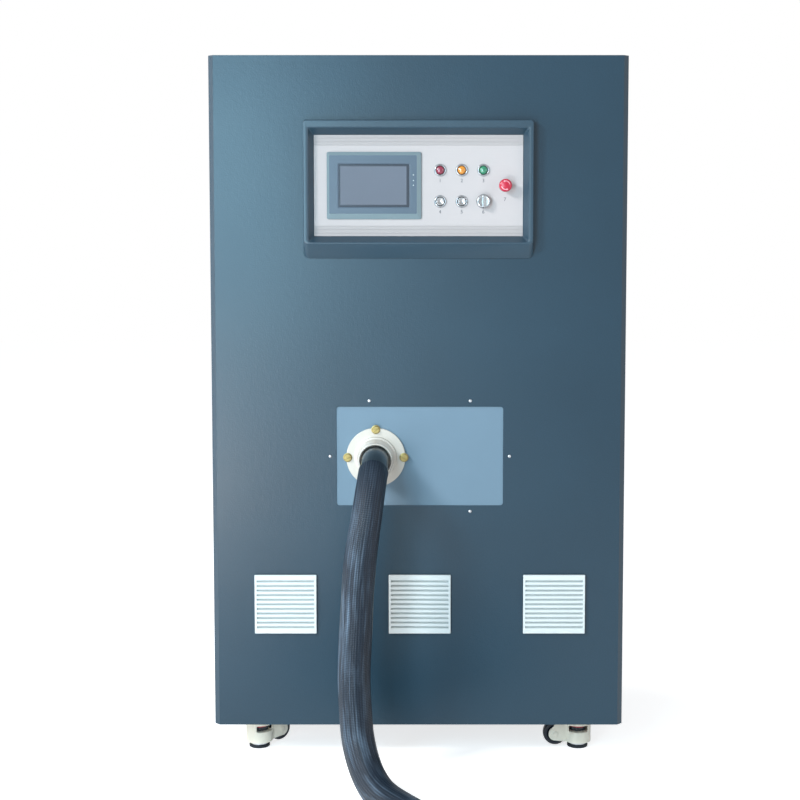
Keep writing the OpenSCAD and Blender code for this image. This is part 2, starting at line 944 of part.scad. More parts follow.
module emergency_button() {
    p = OPERATORS[6];
    back = face_front - ring_t - neck_h;
    front = back - mushroom_t;
    dome_r = (mushroom_r * mushroom_r + mushroom_dome * mushroom_dome) / (2 * mushroom_dome);
    stem = neck_h - emergency_depth - seat + over;
    color("#c4122d") union() {
        rod_y([p[0], front, p[1]], mushroom_r, mushroom_t);
        intersection() {
            translate([p[0], front - mushroom_dome + dome_r, p[1]]) sphere(r = dome_r);
            rod_y([p[0], front - mushroom_dome - over, p[1]], mushroom_r, mushroom_dome + 2 * over);
        }
        rod_y([p[0], back - over, p[1]], neck_r, stem);
        rod_y([p[0], back - over, p[1]], stem_r, stem + ring_t + barrel_d);
    }
}

module contact_blocks() {
    color("#2a2d30") for (p = OPERATORS)
        upright(p[0], face_front + barrel_d, p[1], block_w, block_w, block_d);
}

module outlet_board() {
    y = board_y - over;
    cut = board_t + 2 * over;
    color("#6f8ba3") difference() {
        upright(outlet_x, board_y, window_mid, board_w, board_h, board_t);
        rod_y([flange_x, y, flange_z], tube_r + seat, cut);
        for (s = BOARD_SCREWS)
            rod_y([outlet_x + s[0], y, window_mid + s[1]], small_screw_r + hole_gap, cut);
        for (s = FLANGE_SCREWS) rod_y([s[0], y, s[1]], flange_screw_r + hole_gap, cut);
    }
}

module board_screws() {
    shank = small_head_t + sheet_t + board_t + small_head_t;
    color(zinc) for (s = BOARD_SCREWS) {
        x = outlet_x + s[0];
        z = window_mid + s[1];
        rod_y([x, front_y - small_head_t, z], small_head_r, small_head_t);
        rod_y([x, front_y - small_head_t, z], small_screw_r, shank);
        rod_y([x, board_y + board_t, z], small_head_r, small_head_t);
    }
}

module outlet_flange() {
    mouth_y = front_y - neck_reach;
    neck_y = flange_y - flange_t - boss_t;
    color("#e8e9e6") difference() {
        union() {
            rod_y([flange_x, flange_y - flange_t, flange_z], flange_r, flange_t);
            rod_y([flange_x, neck_y, flange_z], boss_r, boss_t + over);
            translate([flange_x, neck_y + over, flange_z]) rotate([90, 0, 0])
                cylinder(r1 = neck_root_r, r2 = neck_mouth_r, h = neck_y + over - mouth_y);
        }
        rod_y([flange_x, mouth_y - over, flange_z], tube_r + seat, flange_y - mouth_y + 2 * over);
        rod_y([flange_x, mouth_y - over, flange_z], mouth_r, mouth_d + over);
        for (s = FLANGE_SCREWS) rod_y(
            [s[0], flange_y - flange_t - over, s[1]], flange_screw_r + hole_gap, flange_t + 2 * over
        );
    }
}

module flange_screws() {
    y = flange_y - flange_t - washer_t;
    shank = washer_t + flange_t + board_t + flange_head_t;
    color("#c7a24a") for (s = FLANGE_SCREWS) {
        rod_y([s[0], y, s[1]], washer_r, washer_t);
        rod_y([s[0], y - flange_head_t, s[1]], flange_head_r, flange_head_t);
        rod_y([s[0], y, s[1]], flange_screw_r, shank);
        rod_y([s[0], board_y + board_t, s[1]], flange_head_r, flange_head_t);
    }
}

module cable_tube() {
    color("#3a3d40") difference() {
        rod_y([flange_x, ROUTE[0][1], flange_z], tube_r, board_y + tube_inside - ROUTE[0][1]);
        rod_y([flange_x, board_y + board_t, flange_z], tube_r - tube_wall, tube_inside + over);
    }
}

module intake_grilles() {
    inner_h = grille_h - 2 * grille_margin;
    body_w = grille_w - 2 * (grille_lap + seat);
    body_h = grille_h - 2 * (grille_lap + seat);
    pitch = inner_h / slat_count;
    deep = grille_reach + grille_back;
    color("#e6e8e8") for (g = GRILLES) difference() {
        union() {
            upright(g[0], front_y - grille_reach, g[1], grille_w, grille_h, grille_reach);
            upright(g[0], front_y - over, g[1], body_w, body_h, grille_back + over);
        }
        for (k = [0:slat_count - 1]) upright(
            g[0], front_y - grille_reach - over, g[1] - inner_h / 2 + (k + 0.5) * pitch,
            body_w - 2 * sheet_t, pitch * (1 - slat_share), deep + 2 * over
        );
    }
}

sink_low = base_top + sink_z;

module mounting_plate() {
    y = mount_front;
    color("#b9bfc4") difference() {
        block([-mount_half, y, mount_low], [mount_half, y + mount_t, mount_high]);
        upright(sink_x, y - over, sink_low + sink_h / 2,
            module_pitch_x + module_w + 2 * module_margin,
            module_pitch_z + module_h + 2 * module_margin, mount_t + 2 * over);
    }
}

module heatsink() {
    y = mount_front + mount_t;
    mid = sink_low + sink_h / 2;
    color("#a9adb0") union() {
        upright(sink_x, y, mid, sink_w, sink_h, sink_base);
        for (k = [0:fin_count - 1]) upright(
            sink_x - sink_w / 2 + fin_t / 2 + (sink_w - fin_t) * k / (fin_count - 1),
            y + sink_base - over, mid, fin_t, sink_h, fin_l + over
        );
    }
}

module power_modules() {
    y = mount_front + mount_t - module_t;
    color("#2b2b2e") for (i = [-1, 1]) for (j = [-1, 1]) {
        x = sink_x + i * module_pitch_x / 2;
        z = sink_low + sink_h / 2 + j * module_pitch_z / 2;
        upright(x, y, z, module_w, module_h, module_t);
        for (k = [-1:1]) upright(
            x, y - module_pad_t, z + k * module_h / 3, module_pad_w, module_pad_w, module_pad_t
        );
    }
}

module capacitor_bank() {
    pitch = 2 * can_r + can_gap;
    color("#3f78ad") for (i = [0:can_columns - 1]) for (j = [0:can_rows - 1]) {
        at = [can_x + can_r + i * pitch, front_y + can_y + j * pitch, base_top];
        rod_z(at, can_r, can_h);
        for (x = [-1, 1]) rod_z(at + [x * can_r / 2, 0, can_h], can_post_r, can_post_h);
    }
}

module reactor_core() {
    x = core_x + core_w / 2;
    y = front_y + core_y;
    z = base_top + core_h / 2;
    color("#4b4f53") difference() {
        upright(x, y, z, core_w, core_h, core_d);
        upright(x, y - over, z, core_w - 2 * core_leg, core_h - 2 * core_leg, core_d + 2 * over);
    }
}

module reactor_winding() {
    y = front_y + core_y;
    z = base_top + core_h / 2;
    tall = core_h - 2 * (core_leg + winding_gap);
    color("#a8622d") for (side = [-1, 1]) {
        x = core_x + core_w / 2 + side * (core_w - core_leg) / 2;
        difference() {
            upright(x, y - winding_t, z, core_leg + 2 * winding_t, tall, core_d + 2 * winding_t);
            upright(x, y - seat, z, core_leg + 2 * seat, core_h, core_d + 2 * seat);
        }
    }
}

module control_board() {
    y = mount_front - pcb_standoff - pcb_t;
    x = pcb_x + pcb_w / 2;
    z = base_top + pcb_z + pcb_h / 2;
    color("#1f6a44") union() {
        upright(x, y, z, pcb_w, pcb_h, pcb_t);
        for (i = [-1, 1]) for (j = [-1, 1]) rod_y(
            [x + i * (pcb_w / 2 - pcb_inset), y, z + j * (pcb_h / 2 - pcb_inset)],
            pcb_standoff_r, pcb_t + pcb_standoff
        );
        for (k = [-3:2:3]) upright(
            x + k * relay_w, y - relay_h, z - pcb_h / 4, relay_w, relay_w, relay_h + pcb_t
        );
        for (k = [-1, 1])
            upright(x + k * chip_w, y - chip_h, z + pcb_h / 5, chip_w, chip_w, chip_h + pcb_t);
    }
}

breaker_front = mount_front + mount_t + breaker_d;
toggle_at = [breaker_x + breaker_w / 2, breaker_front - slot_d / 2, base_top + breaker_z + breaker_h / 2];

module main_breaker() {
    x = breaker_x + breaker_w / 2;
    z = base_top + breaker_z + breaker_h / 2;
    color("#33363a") union() {
        difference() {
            upright(x, mount_front + mount_t, z, breaker_w, breaker_h, breaker_d);
            upright(x, breaker_front - slot_d, z, slot_w, slot_h, slot_d + over);
        }
        rod_x(toggle_at - [slot_w / 2 + over, 0, 0], toggle_pin_r, slot_w + 2 * over);
    }
}

module breaker_toggle() {
    color("#e3e3df") translate(toggle_at) rotate([toggle_tilt, 0, 0]) difference() {
        union() {
            rod_x([-toggle_w / 2, 0, 0], toggle_hub_r, toggle_w);
            upright(0, 0, 0, toggle_w, toggle_t, toggle_l);
        }
        rod_x([-toggle_w / 2 - over, 0, 0], toggle_pin_r + run, toggle_w + 2 * over);
    }
}

fan_back = back_y - sheet_t;
fan_front = fan_back - fan_d;

module fan_frame() {
    reach = 2 * (fan_hole_r + over);
    span = 2 * (fan_hole_r + guard_rim) - guard_w;
    color("#25282b") {
        difference() {
            upright(fan_x, fan_front, fan_z, fan_w, fan_w, fan_d);
            rod_y([fan_x, fan_front - over, fan_z], fan_hole_r, fan_d + 2 * over);
        }
        rod_y([fan_x, fan_front, fan_z], motor_r, motor_l);
        rod_y([fan_x, fan_front, fan_z], fan_shaft_r, motor_l + fan_shaft_l);
        upright(fan_x, fan_front, fan_z, reach, strut_w, strut_w);
        upright(fan_x, fan_front, fan_z, strut_w, reach, strut_w);
    }
    color("#b7babd") union() {
        for (k = [1:guard_rings]) {
            r = k == guard_rings ? fan_hole_r + guard_rim : fan_hole_r * k / guard_rings;
            difference() {
                rod_y([fan_x, back_y, fan_z], r, guard_w);
                rod_y([fan_x, back_y - over, fan_z], r - guard_w, guard_w + 2 * over);
            }
        }
        for (a = [45, 135]) translate([fan_x, back_y + guard_w / 2, fan_z]) rotate([0, a, 0])
            upright(0, 0, 0, span, guard_w, guard_w);
    }
}

module fan_rotor() {
    y = fan_front + motor_l + run;
    tip = fan_hole_r - 2 * blade_gap;
    color("#3d4246") difference() {
        union() {
            rod_y([fan_x, y, fan_z], hub_r, hub_l);
            for (k = [0:blade_count - 1]) translate([fan_x, y + hub_l / 2, fan_z])
                rotate([0, 360 * k / blade_count, 0]) rotate([blade_tilt, 0, 0])
                    translate([hub_r - over, -blade_t / 2, -blade_chord / 2])
                        cube([tip - hub_r + over, blade_t, blade_chord]);
        }
        rod_y([fan_x, y - over, fan_z], fan_shaft_r + run, fan_shaft_l + over + run);
    }
}

module mains_gland() {
    inner = back_y - base_t - gland_nut_t;
    color("#2c2f31") difference() {
        union() {
            hex_y([gland_x, back_y, gland_z], gland_hex_r, gland_hex_t);
            rod_y([gland_x, back_y, gland_z], gland_cap_r, rear_reach);
            rod_y([gland_x, inner, gland_z], gland_thread_r, back_y - inner + over);
            hex_y([gland_x, inner, gland_z], gland_hex_r, gland_nut_t);
        }
        rod_y([gland_x, inner - over, gland_z], gland_r, back_y + rear_reach - inner + 2 * over);
    }
}

module output_cable() {
    color("#1d2733") swept_tube(ROUTE, cable_r, cable_sides, [1, 0, 0]);
}

module cable_coil() {
    color("#1d2733") swept_tube(COIL, cable_r, coil_sides, [0, 0, 1]);
}

module cable_connector() {
    translate(connector_from) rotate([0, 0, connector_turn]) {
        color("#2b2d30") translate([0, -connector_w / 2, -connector_h / 2])
            cube([connector_l, connector_w, connector_h]);
        color("#b87333") for (side = [-1, 1]) translate([connector_l, side * lug_gap / 2, 0])
            difference() {
                translate([0, -lug_w / 2, -lug_t / 2]) cube([lug_l, lug_w, lug_t]);
                rod_z([lug_l - lug_hole_in, 0, -lug_t / 2 - over], lug_hole_r, lug_t + 2 * over);
            }
    }
}

fork_top = caster_h - caster_plate_t - run;
// Bolts round a caster's kingpin
BOLTS = [for (x = [-1, 1]) for (y = [-1, 1]) [x * bolt_span / 2, y * bolt_span / 2]];

module caster_plates() {
    half = plate_w / 2;
    low = caster_h - caster_plate_t;
    pin_low = fork_top - fork_top_t - run;
    color(zinc) for (c = CASTERS) translate([c[0], c[1], 0]) {
        difference() {
            block([-half, -half, low], [half, half, caster_h]);
            for (b = BOLTS) rod_z([b[0], b[1], low - over], bolt_r + hole_gap, caster_plate_t + 2 * over);
        }
        rod_z([0, 0, pin_low], kingpin_r, low - pin_low + over);
        rod_z([0, 0, pin_low - kingpin_head_t], kingpin_head_r, kingpin_head_t);
        for (b = BOLTS) {
            hex_z([b[0], b[1], low - bolt_head_t], bolt_head_r, bolt_head_t);
            rod_z([b[0], b[1], low], bolt_r, caster_plate_t + base_t + bolt_head_t);
            hex_z([b[0], b[1], base_top], bolt_head_r, bolt_head_t);
        }
    }
}

// Places its children at a caster, turned with its fork
module at_caster(i) {
    translate([CASTERS[i][0], CASTERS[i][1], 0]) rotate([0, 0, CASTERS[i][2]]) children();
}

// A cylinder along Y through the wheel's axle, in the fork's own frame
module across(r, w) {
    translate([-trail, w / 2, axle_z]) rotate([90, 0, 0]) cylinder(r = r, h = w);
}

cell_roof = cell_low + cell_t + dial_t + 2 * dial_gap;
cheek_y = wheel_w / 2 + tread_w / 4;

module fork(i) {
    low = fork_top - fork_top_t;
    head_room = kingpin_head_t + 2 * run + seat;
    hollow_r = housing_r - housing_wall;
    well_low = cell_low + cell_t;
    at_caster(i) {
        color(ivory) difference() {
            union() {
                rod_z([0, 0, low], fork_top_r, fork_top_t);
                rod_z([0, 0, housing_low], housing_r, low - housing_low + over);
                for (side = [-1, 1]) translate([0, side > 0 ? cheek_y + cheek_t : -cheek_y, 0])
                    rotate([90, 0, 0]) linear_extrude(cheek_t) {
                        translate([-trail, axle_z]) circle(r = lobe_r);
                        polygon([
                            [-trail - lobe_r, axle_z], [-fork_top_r, low + over], [0, low + over],
                            [0, housing_low], [-housing_r / 2, housing_low], [-trail, axle_z - lobe_r]
                        ]);
                    }
            }
            rod_z([0, 0, low - over], kingpin_r + run, fork_top_t + 2 * over);
            rod_z([0, 0, low - head_room], kingpin_head_r + run, head_room);
            rod_z([0, 0, housing_low - over], hollow_r, cell_low - housing_low + over);
            rod_z([0, 0, well_low], hollow_r, cell_roof - well_low);
            block([-well_w / 2, -housing_r - over, well_low], [well_w / 2, housing_r + over, cell_roof]);
            rod_z([0, 0, housing_low], screw_r + run, low - housing_low);
            across(wheel_r + seam, 2 * cheek_y);
            across(axle_r + seat / 2, 2 * (cheek_y + cheek_t + over));
        }
        color(zinc) {
            across(axle_r, 2 * (cheek_y + cheek_t));
            for (side = [-1, 1])
                translate([0, side * (cheek_y + cheek_t + axle_head_t / 2), 0])
                    across(axle_head_r, axle_head_t);
        }
    }
}

module wheel(i) {
    at_caster(i) color("#1b1c1e") difference() {
        union() {
            across(wheel_r, wheel_w - tread_w);
            across(wheel_r - tread_w / 2, wheel_w);
        }
        across(axle_r + run, wheel_w + 2 * over);
    }
}

module foot(i) {
    at_caster(i) color("#1d1f21") union() {
        cylinder(r = pad_r, h = pad_t);
        rod_z([0, 0, pad_t - over], pad_steel_r, pad_steel_t + over);
        rod_z([0, 0, pad_t], screw_r, cell_roof + screw_r - pad_t);
    }
}

module dial(i) {
    at_caster(i) color("#c02436") translate([0, 0, cell_low + cell_t + dial_gap]) difference() {
        cylinder(r = dial_r, h = dial_t);
        rod_z([0, 0, -over], screw_r + run, dial_t + 2 * over);
        for (k = [0:dial_notches - 1]) rotate([0, 0, 360 * k / dial_notches])
            rod_z([dial_r, 0, -over], notch_r, dial_t + 2 * over);
    }
}

module front_left_fork() { fork(0); }
module front_left_wheel() { wheel(0); }
module front_left_foot() { foot(0); }
module front_left_dial() { dial(0); }
module front_right_fork() { fork(1); }
module front_right_wheel() { wheel(1); }
module front_right_foot() { foot(1); }
module front_right_dial() { dial(1); }
module rear_left_fork() { fork(2); }
module rear_left_wheel() { wheel(2); }
module rear_left_foot() { foot(2); }
module rear_left_dial() { dial(2); }
module rear_right_fork() { fork(3); }
module rear_right_wheel() { wheel(3); }
module rear_right_foot() { foot(3); }
module rear_right_dial() { dial(3); }

base_plate();
frame();
front_panel();
left_side_panel();
right_side_panel();
top_cover();
rear_door();
door_hinges();
door_lock();
control_bezel();
control_faceplate();
touchscreen_housing();
touchscreen_glass();
operator_bezels();
red_lamp_lens();
amber_lamp_lens();
green_lamp_lens();
stop_button();
start_button();
power_knob();
emergency_button();
contact_blocks();
outlet_board();
board_screws();
outlet_flange();
flange_screws();
cable_tube();
intake_grilles();
mounting_plate();
heatsink();
power_modules();
capacitor_bank();
reactor_core();
reactor_winding();
control_board();
main_breaker();
breaker_toggle();
fan_frame();
fan_rotor();
mains_gland();
output_cable();
cable_coil();
cable_connector();
caster_plates();
front_left_fork();
front_left_wheel();
front_left_foot();
front_left_dial();
front_right_fork();
front_right_wheel();
front_right_foot();
front_right_dial();
rear_left_fork();
rear_left_wheel();
rear_left_foot();
rear_left_dial();
rear_right_fork();
rear_right_wheel();
rear_right_foot();
rear_right_dial();
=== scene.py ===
"""Looks of the induction heating machine: cabinet, console, cable outlet, casters and power section.

Everything is in metres in the shared frame: the origin is on the floor under the middle of the
cabinet, +X is right, -Y is the front and +Z is up.
"""

from __future__ import annotations

import json
import logging
import math
from dataclasses import dataclass, field
from enum import Enum
from typing import Callable, Iterable, Sequence, Union

import bmesh
import bpy
from mathutils import Matrix, Vector, noise

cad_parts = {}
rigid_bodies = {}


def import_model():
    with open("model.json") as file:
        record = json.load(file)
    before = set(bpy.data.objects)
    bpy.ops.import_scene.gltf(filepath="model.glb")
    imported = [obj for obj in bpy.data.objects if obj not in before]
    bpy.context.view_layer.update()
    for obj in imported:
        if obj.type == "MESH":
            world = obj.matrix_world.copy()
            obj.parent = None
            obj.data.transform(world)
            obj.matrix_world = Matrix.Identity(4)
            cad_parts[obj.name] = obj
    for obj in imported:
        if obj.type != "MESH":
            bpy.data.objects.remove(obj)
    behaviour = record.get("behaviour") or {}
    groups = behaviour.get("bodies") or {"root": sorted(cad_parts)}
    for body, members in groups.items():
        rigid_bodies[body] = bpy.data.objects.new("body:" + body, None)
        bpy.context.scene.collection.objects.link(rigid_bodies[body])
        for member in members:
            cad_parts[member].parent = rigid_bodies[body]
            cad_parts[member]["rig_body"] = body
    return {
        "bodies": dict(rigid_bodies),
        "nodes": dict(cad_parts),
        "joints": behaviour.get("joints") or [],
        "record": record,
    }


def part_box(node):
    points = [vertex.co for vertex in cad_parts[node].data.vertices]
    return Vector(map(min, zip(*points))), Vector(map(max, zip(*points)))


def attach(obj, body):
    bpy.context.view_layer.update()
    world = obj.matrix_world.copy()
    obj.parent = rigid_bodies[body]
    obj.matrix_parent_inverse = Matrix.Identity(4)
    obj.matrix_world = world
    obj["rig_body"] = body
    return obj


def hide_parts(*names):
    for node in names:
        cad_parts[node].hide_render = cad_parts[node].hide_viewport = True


log = logging.getLogger("machine")

Tone = tuple[int, int, int]
Point = tuple[float, float, float]
Value = Union["Signal", bpy.types.NodeSocket, float, tuple]

# Height of the console's middle, depth of the front sheet's face, radius of the cable: shared by several classes.
CONSOLE_MIDDLE = 1.3735
SHEET_FRONT = -0.340
SLEEVE_RADIUS = 0.036
# Limits of the mesh work: metres, then degrees.
AT_AXIS = 1e-7
MERGE_WITHIN = 2e-6
FLAT_DEGREES = 0.4
SHARP_DEGREES = 46.0


def linear(tone: Tone) -> tuple[float, float, float, float]:
    """Returns the linear colour of a tone in display values from 0 to 255, by the display's own curve."""
    parts = [c / 255.0 for c in tone]
    return tuple(c / 12.92 if c < 0.04045 else ((c + 0.055) / 1.055) ** 2.4 for c in parts) + (1.0,)


def shaded(tone: Tone, factor: float) -> tuple[float, float, float, float]:
    """Returns the linear colour of a tone, made lighter or darker by a factor."""
    return tuple(min(1.0, c * factor) for c in linear(tone)[:3]) + (1.0,)


class Signal:
    """A number that runs through a material's nodes, used in plain expressions."""

    def __init__(self, bench: Bench, socket: bpy.types.NodeSocket) -> None:
        """Wraps one output socket."""
        self.bench = bench
        self.socket = socket

    def _math(self, operation: str, first: Value, second: Value = 0.0) -> Signal:
        """Adds a Math node.

        Args:
            operation: The node's operation.
            first: Its first value.
            second: Its second value.

        Returns:
            The result.
        """
        made = self.bench.node("ShaderNodeMath", {"operation": operation}, {0: first, 1: second})
        return Signal(self.bench, made.outputs[0])

    def __add__(self, other: Value) -> Signal:
        """Adds."""
        return self._math("ADD", self, other)

    def __radd__(self, other: Value) -> Signal:
        """Adds, with the number first."""
        return self._math("ADD", other, self)

    def __sub__(self, other: Value) -> Signal:
        """Subtracts."""
        return self._math("SUBTRACT", self, other)

    def __rsub__(self, other: Value) -> Signal:
        """Subtracts from a number."""
        return self._math("SUBTRACT", other, self)

    def __mul__(self, other: Value) -> Signal:
        """Multiplies."""
        return self._math("MULTIPLY", self, other)

    def __rmul__(self, other: Value) -> Signal:
        """Multiplies, with the number first."""
        return self._math("MULTIPLY", other, self)

    def above(self, limit: float) -> Signal:
        """Returns 1 where the value is above a limit, otherwise 0."""
        return self._math("GREATER_THAN", self, limit)

    def size(self) -> Signal:
        """Returns the value without its sign."""
        return self._math("ABSOLUTE", self)

    def wave(self, period: float) -> Signal:
        """Returns a wave from 0 to 1 along the value, of the given period."""
        return self._math("SINE", self * (2 * math.pi / period)) * 0.5 + 0.5

    def larger(self, other: Value) -> Signal:
        """Returns the larger of two values."""
        return self._math("MAXIMUM", self, other)

    def held(self) -> Signal:
        """Returns the value kept between 0 and 1."""
        return self._math("MINIMUM", self._math("MAXIMUM", self, 0.0), 1.0)


class Bench:
    """Adds nodes to one material's or geometry's tree."""

    def __init__(self, tree: bpy.types.NodeTree) -> None:
        """Keeps the tree."""
        self.tree = tree

    def node(self, kind: str, settings: dict | None = None, inputs: dict | None = None) -> bpy.types.Node:
        """Adds any node.

        Args:
            kind: The node's type.
            settings: Properties, which are set first.
            inputs: A value or a link for each socket.

        Returns:
            The node.
        """
        made = self.tree.nodes.new(kind)
        for name, value in (settings or {}).items():
            setattr(made, name, value)
        for key, value in (inputs or {}).items():
            self.feed(made.inputs[key], value)
        return made

    def feed(self, socket: bpy.types.NodeSocket, value: Value) -> None:
        """Gives a socket a value or a link.

        Args:
            socket: The socket.
            value: A value, signal or socket.
        """
        if isinstance(value, Signal):
            value = value.socket
        if isinstance(value, bpy.types.NodeSocket):
            self.tree.links.new(value, socket)
        else:
            socket.default_value = value

    def coordinates(self, kind: str = "Object") -> bpy.types.NodeSocket:
        """Returns the coordinates of a surface, on the object or in its UV map."""
        return self.node("ShaderNodeTexCoord").outputs[kind]

    def placed(self, scale: Point = (1, 1, 1), kind: str = "Object") -> bpy.types.NodeSocket:
        """Returns coordinates stretched along each axis."""
        made = self.node("ShaderNodeMapping", {}, {"Vector": self.coordinates(kind), "Scale": scale})
        return made.outputs[0]

    def axes(self, kind: str = "Object") -> tuple[Signal, Signal, Signal]:
        """Returns the three coordinates as numbers."""
        made = self.node("ShaderNodeSeparateXYZ", {}, {0: self.coordinates(kind)})
        return tuple(Signal(self, made.outputs[k]) for k in range(3))

    def grain(self, scale: float, detail: float = 2.0, stretch: Point = (1, 1, 1), kind: str = "Object") -> Signal:
        """Returns noise from 0 to 1.

        Args:
            scale: Features in a metre.
            detail: Finer layers on top.
            stretch: Scale of each axis.
            kind: The coordinates used.

        Returns:
            The noise.
        """
        made = self.node(
            "ShaderNodeTexNoise", {"noise_dimensions": "3D"},
            {"Vector": self.placed(stretch, kind), "Scale": scale, "Detail": detail},
        )
        return Signal(self, made.outputs[0])

    def cells(self, scale: float) -> Signal:
        """Returns the distance to the nearest cell's middle, for crystals and faceted lenses."""
        made = self.node("ShaderNodeTexVoronoi", {"feature": "F1"}, {"Vector": self.placed(), "Scale": scale})
        return Signal(self, made.outputs[0])

    def between(self, factor: Value, first: Value, second: Value) -> bpy.types.NodeSocket:
        """Returns a colour between two colours."""
        return self.node("ShaderNodeMix", {"data_type": "RGBA"}, {0: factor, 6: first, 7: second}).outputs[2]

    def relief(self, height: Signal, depth: float) -> bpy.types.NodeSocket:
        """Returns the normal of a relief of the given depth in metres."""
        return self.node("ShaderNodeBump", {}, {"Height": height, "Distance": depth, "Strength": 1.0}).outputs[0]


@dataclass(frozen=True)
class Finish:
    """A surface finish. Each kind of finish adds its own pattern."""

    name: str
    tone: Tone
    roughness: float = 0.5
    metallic: float = 0.0
    coat: float = 0.0
    specular: float = field(default=0.5, kw_only=True)

    def pattern(self, bench: Bench) -> dict[str, Value]:
        """Makes what varies over the surface, by the shader's socket.

        Args:
            bench: The material's bench.

        Returns:
            A value for each socket that varies.
        """
        broad = bench.grain(9.0, 3.0)
        return {
            "Base Color": bench.between(broad, shaded(self.tone, 0.95), shaded(self.tone, 1.05)),
            "Roughness": broad * 0.1 + (self.roughness - 0.05),
        }

    def material(self) -> bpy.types.Material:
        """Makes the finish's material, once.

        Returns:
            The material.
        """
        made = bpy.data.materials.get(self.name)
        if made:
            return made
        made = bpy.data.materials.new(self.name)
        made.use_nodes = True
        made.diffuse_color = linear(self.tone)
        made.node_tree.nodes.clear()
        bench = Bench(made.node_tree)
        settled = {
            "Base Color": linear(self.tone), "Roughness": self.roughness,
            "Metallic": self.metallic, "Coat Weight": self.coat,
        }
        settled.update(self.constants())
        settled.update(self.pattern(bench))
        shader = bench.node("ShaderNodeBsdfPrincipled", {}, settled)
        bench.node("ShaderNodeOutputMaterial", {}, {"Surface": shader.outputs[0]})
        return made

    def constants(self) -> dict[str, Value]:
        """Gives the values that are the same all over the surface.

        Returns:
            A value for each such socket.
        """
        made: dict[str, Value] = {"Specular IOR Level": self.specular}
        if self.coat:
            made["Coat Roughness"] = 0.08
        return made


@dataclass(frozen=True)
class PowderCoat(Finish):
    """Fine-textured powder coat on sheet steel, a little mottled."""

    grain: float = 300.0
    depth: float = 0.00022

    def pattern(self, bench: Bench) -> dict[str, Value]:
        """Makes the speckle, the faint mottling and the pebbled relief.

        Args:
            bench: The material's bench.

        Returns:
            A value for each socket that varies.
        """
        fine = bench.grain(self.grain, 2.0)
        broad = bench.grain(3.2, 4.0)
        mix = (fine * 0.55 + broad * 0.45).held()
        return {
            "Base Color": bench.between(mix, shaded(self.tone, 0.72), shaded(self.tone, 1.28)),
            "Roughness": broad * 0.12 + fine * 0.08 + (self.roughness - 0.10),
            "Normal": bench.relief(fine + bench.grain(self.grain / 3.2, 1.0) * 0.7, self.depth),
        }


@dataclass(frozen=True)
class Brushed(Finish):
    """Metal with brush lines along one axis."""

    stretch: Point = (0.012, 1.0, 1.0)
    grain: float = 1500.0
    contrast: float = 0.12

    def pattern(self, bench: Bench) -> dict[str, Value]:
        """Makes the brush lines in colour, gloss and relief.

        Args:
            bench: The material's bench.

        Returns:
            A value for each socket that varies.
        """
        lines = bench.grain(self.grain, 3.0, self.stretch)
        broad = bench.grain(6.0, 2.0)
        return {
            "Base Color": bench.between(
                lines, shaded(self.tone, 1 - self.contrast), shaded(self.tone, 1 + self.contrast / 2)
            ),
            "Roughness": lines * 0.16 + broad * 0.08 + (self.roughness - 0.12),
            "Normal": bench.relief(lines, 0.00004),
        }


@dataclass(frozen=True)
class Face(Brushed):
    """Silver-white anodised face with painted shade: two greyer bands, above and below, stand for the shade of their
    fine ribs, and the face darkens towards the left.
    """

    middle: float = CONSOLE_MIDDLE
    half: float = 0.0935
    # Slope of the painted shade that darkens the face towards the left.
    drift: float = 1.7

    def pattern(self, bench: Bench) -> dict[str, Value]:
        """Makes the anodised face with its fine satiny grain, the painted shade of its ribbed bands and a painted
        shade that darkens it towards the left.

        Args:
            bench: The material's bench.

        Returns:
            A value for each socket that varies.
        """
        made = super().pattern(bench)
        height = (bench.axes()[2] - self.middle).size()
        band = height.above(self.half)
        # Fine grain plus painted shade: the face darkens from right to left.
        satin_and_painted_shade = (bench.grain(900.0, 2.0, (0.02, 1.0, 1.0)) * 0.2 + bench.axes()[0] * self.drift + 0.4).held()
        plain = bench.between(satin_and_painted_shade, shaded(self.tone, 0.76), shaded(self.tone, 1.00))
        # Painted shade: the ribbed bands take a greyer copy of the face's colour.
        grey = bench.between(satin_and_painted_shade, shaded(self.tone, 0.64), shaded(self.tone, 0.82))
        made["Base Color"] = bench.between(band, plain, grey)
        return made


@dataclass(frozen=True)
class Polished(Finish):
    """Plated metal with a faint smear in its gloss."""

    def pattern(self, bench: Bench) -> dict[str, Value]:
        """Makes the smears in the gloss.

        Args:
            bench: The material's bench.

        Returns:
            A value for each socket that varies.
        """
        smear = bench.grain(180.0, 3.0)
        return {
            "Base Color": bench.between(smear, shaded(self.tone, 0.94), shaded(self.tone, 1.04)),
            "Roughness": smear * 0.14 + (self.roughness - 0.07),
        }


@dataclass(frozen=True)
class Plated(Finish):
    """Zinc or nickel plating: cloudy, with small crystals."""

    def pattern(self, bench: Bench) -> dict[str, Value]:
        """Makes the crystals and clouds of the plating.

        Args:
            bench: The material's bench.

        Returns:
            A value for each socket that varies.
        """
        cloud = bench.grain(55.0, 4.0)
        crystal = bench.cells(420.0)
        mix = (cloud * 0.7 + crystal * 0.4).held()
        return {
            "Base Color": bench.between(mix, shaded(self.tone, 0.80), shaded(self.tone, 1.06)),
            "Roughness": cloud * 0.25 + (self.roughness - 0.12),
            "Normal": bench.relief(cloud, 0.00005),
        }


@dataclass(frozen=True)
class Moulded(Finish):
    """Moulded plastic with a fine spark-eroded grain."""

    grain: float = 1100.0
    depth: float = 0.00006

    def pattern(self, bench: Bench) -> dict[str, Value]:
        """Makes the mould's grain and a faint unevenness.

        Args:
            bench: The material's bench.

        Returns:
            A value for each socket that varies.
        """
        fine = bench.grain(self.grain, 2.0)
        broad = bench.grain(14.0, 2.0)
        return {
            "Base Color": bench.between(
                (fine * 0.4 + broad * 0.6).held(), shaded(self.tone, 0.94), shaded(self.tone, 1.05)
            ),
            "Roughness": fine * 0.12 + broad * 0.08 + (self.roughness - 0.10),
            "Normal": bench.relief(fine, self.depth),
        }


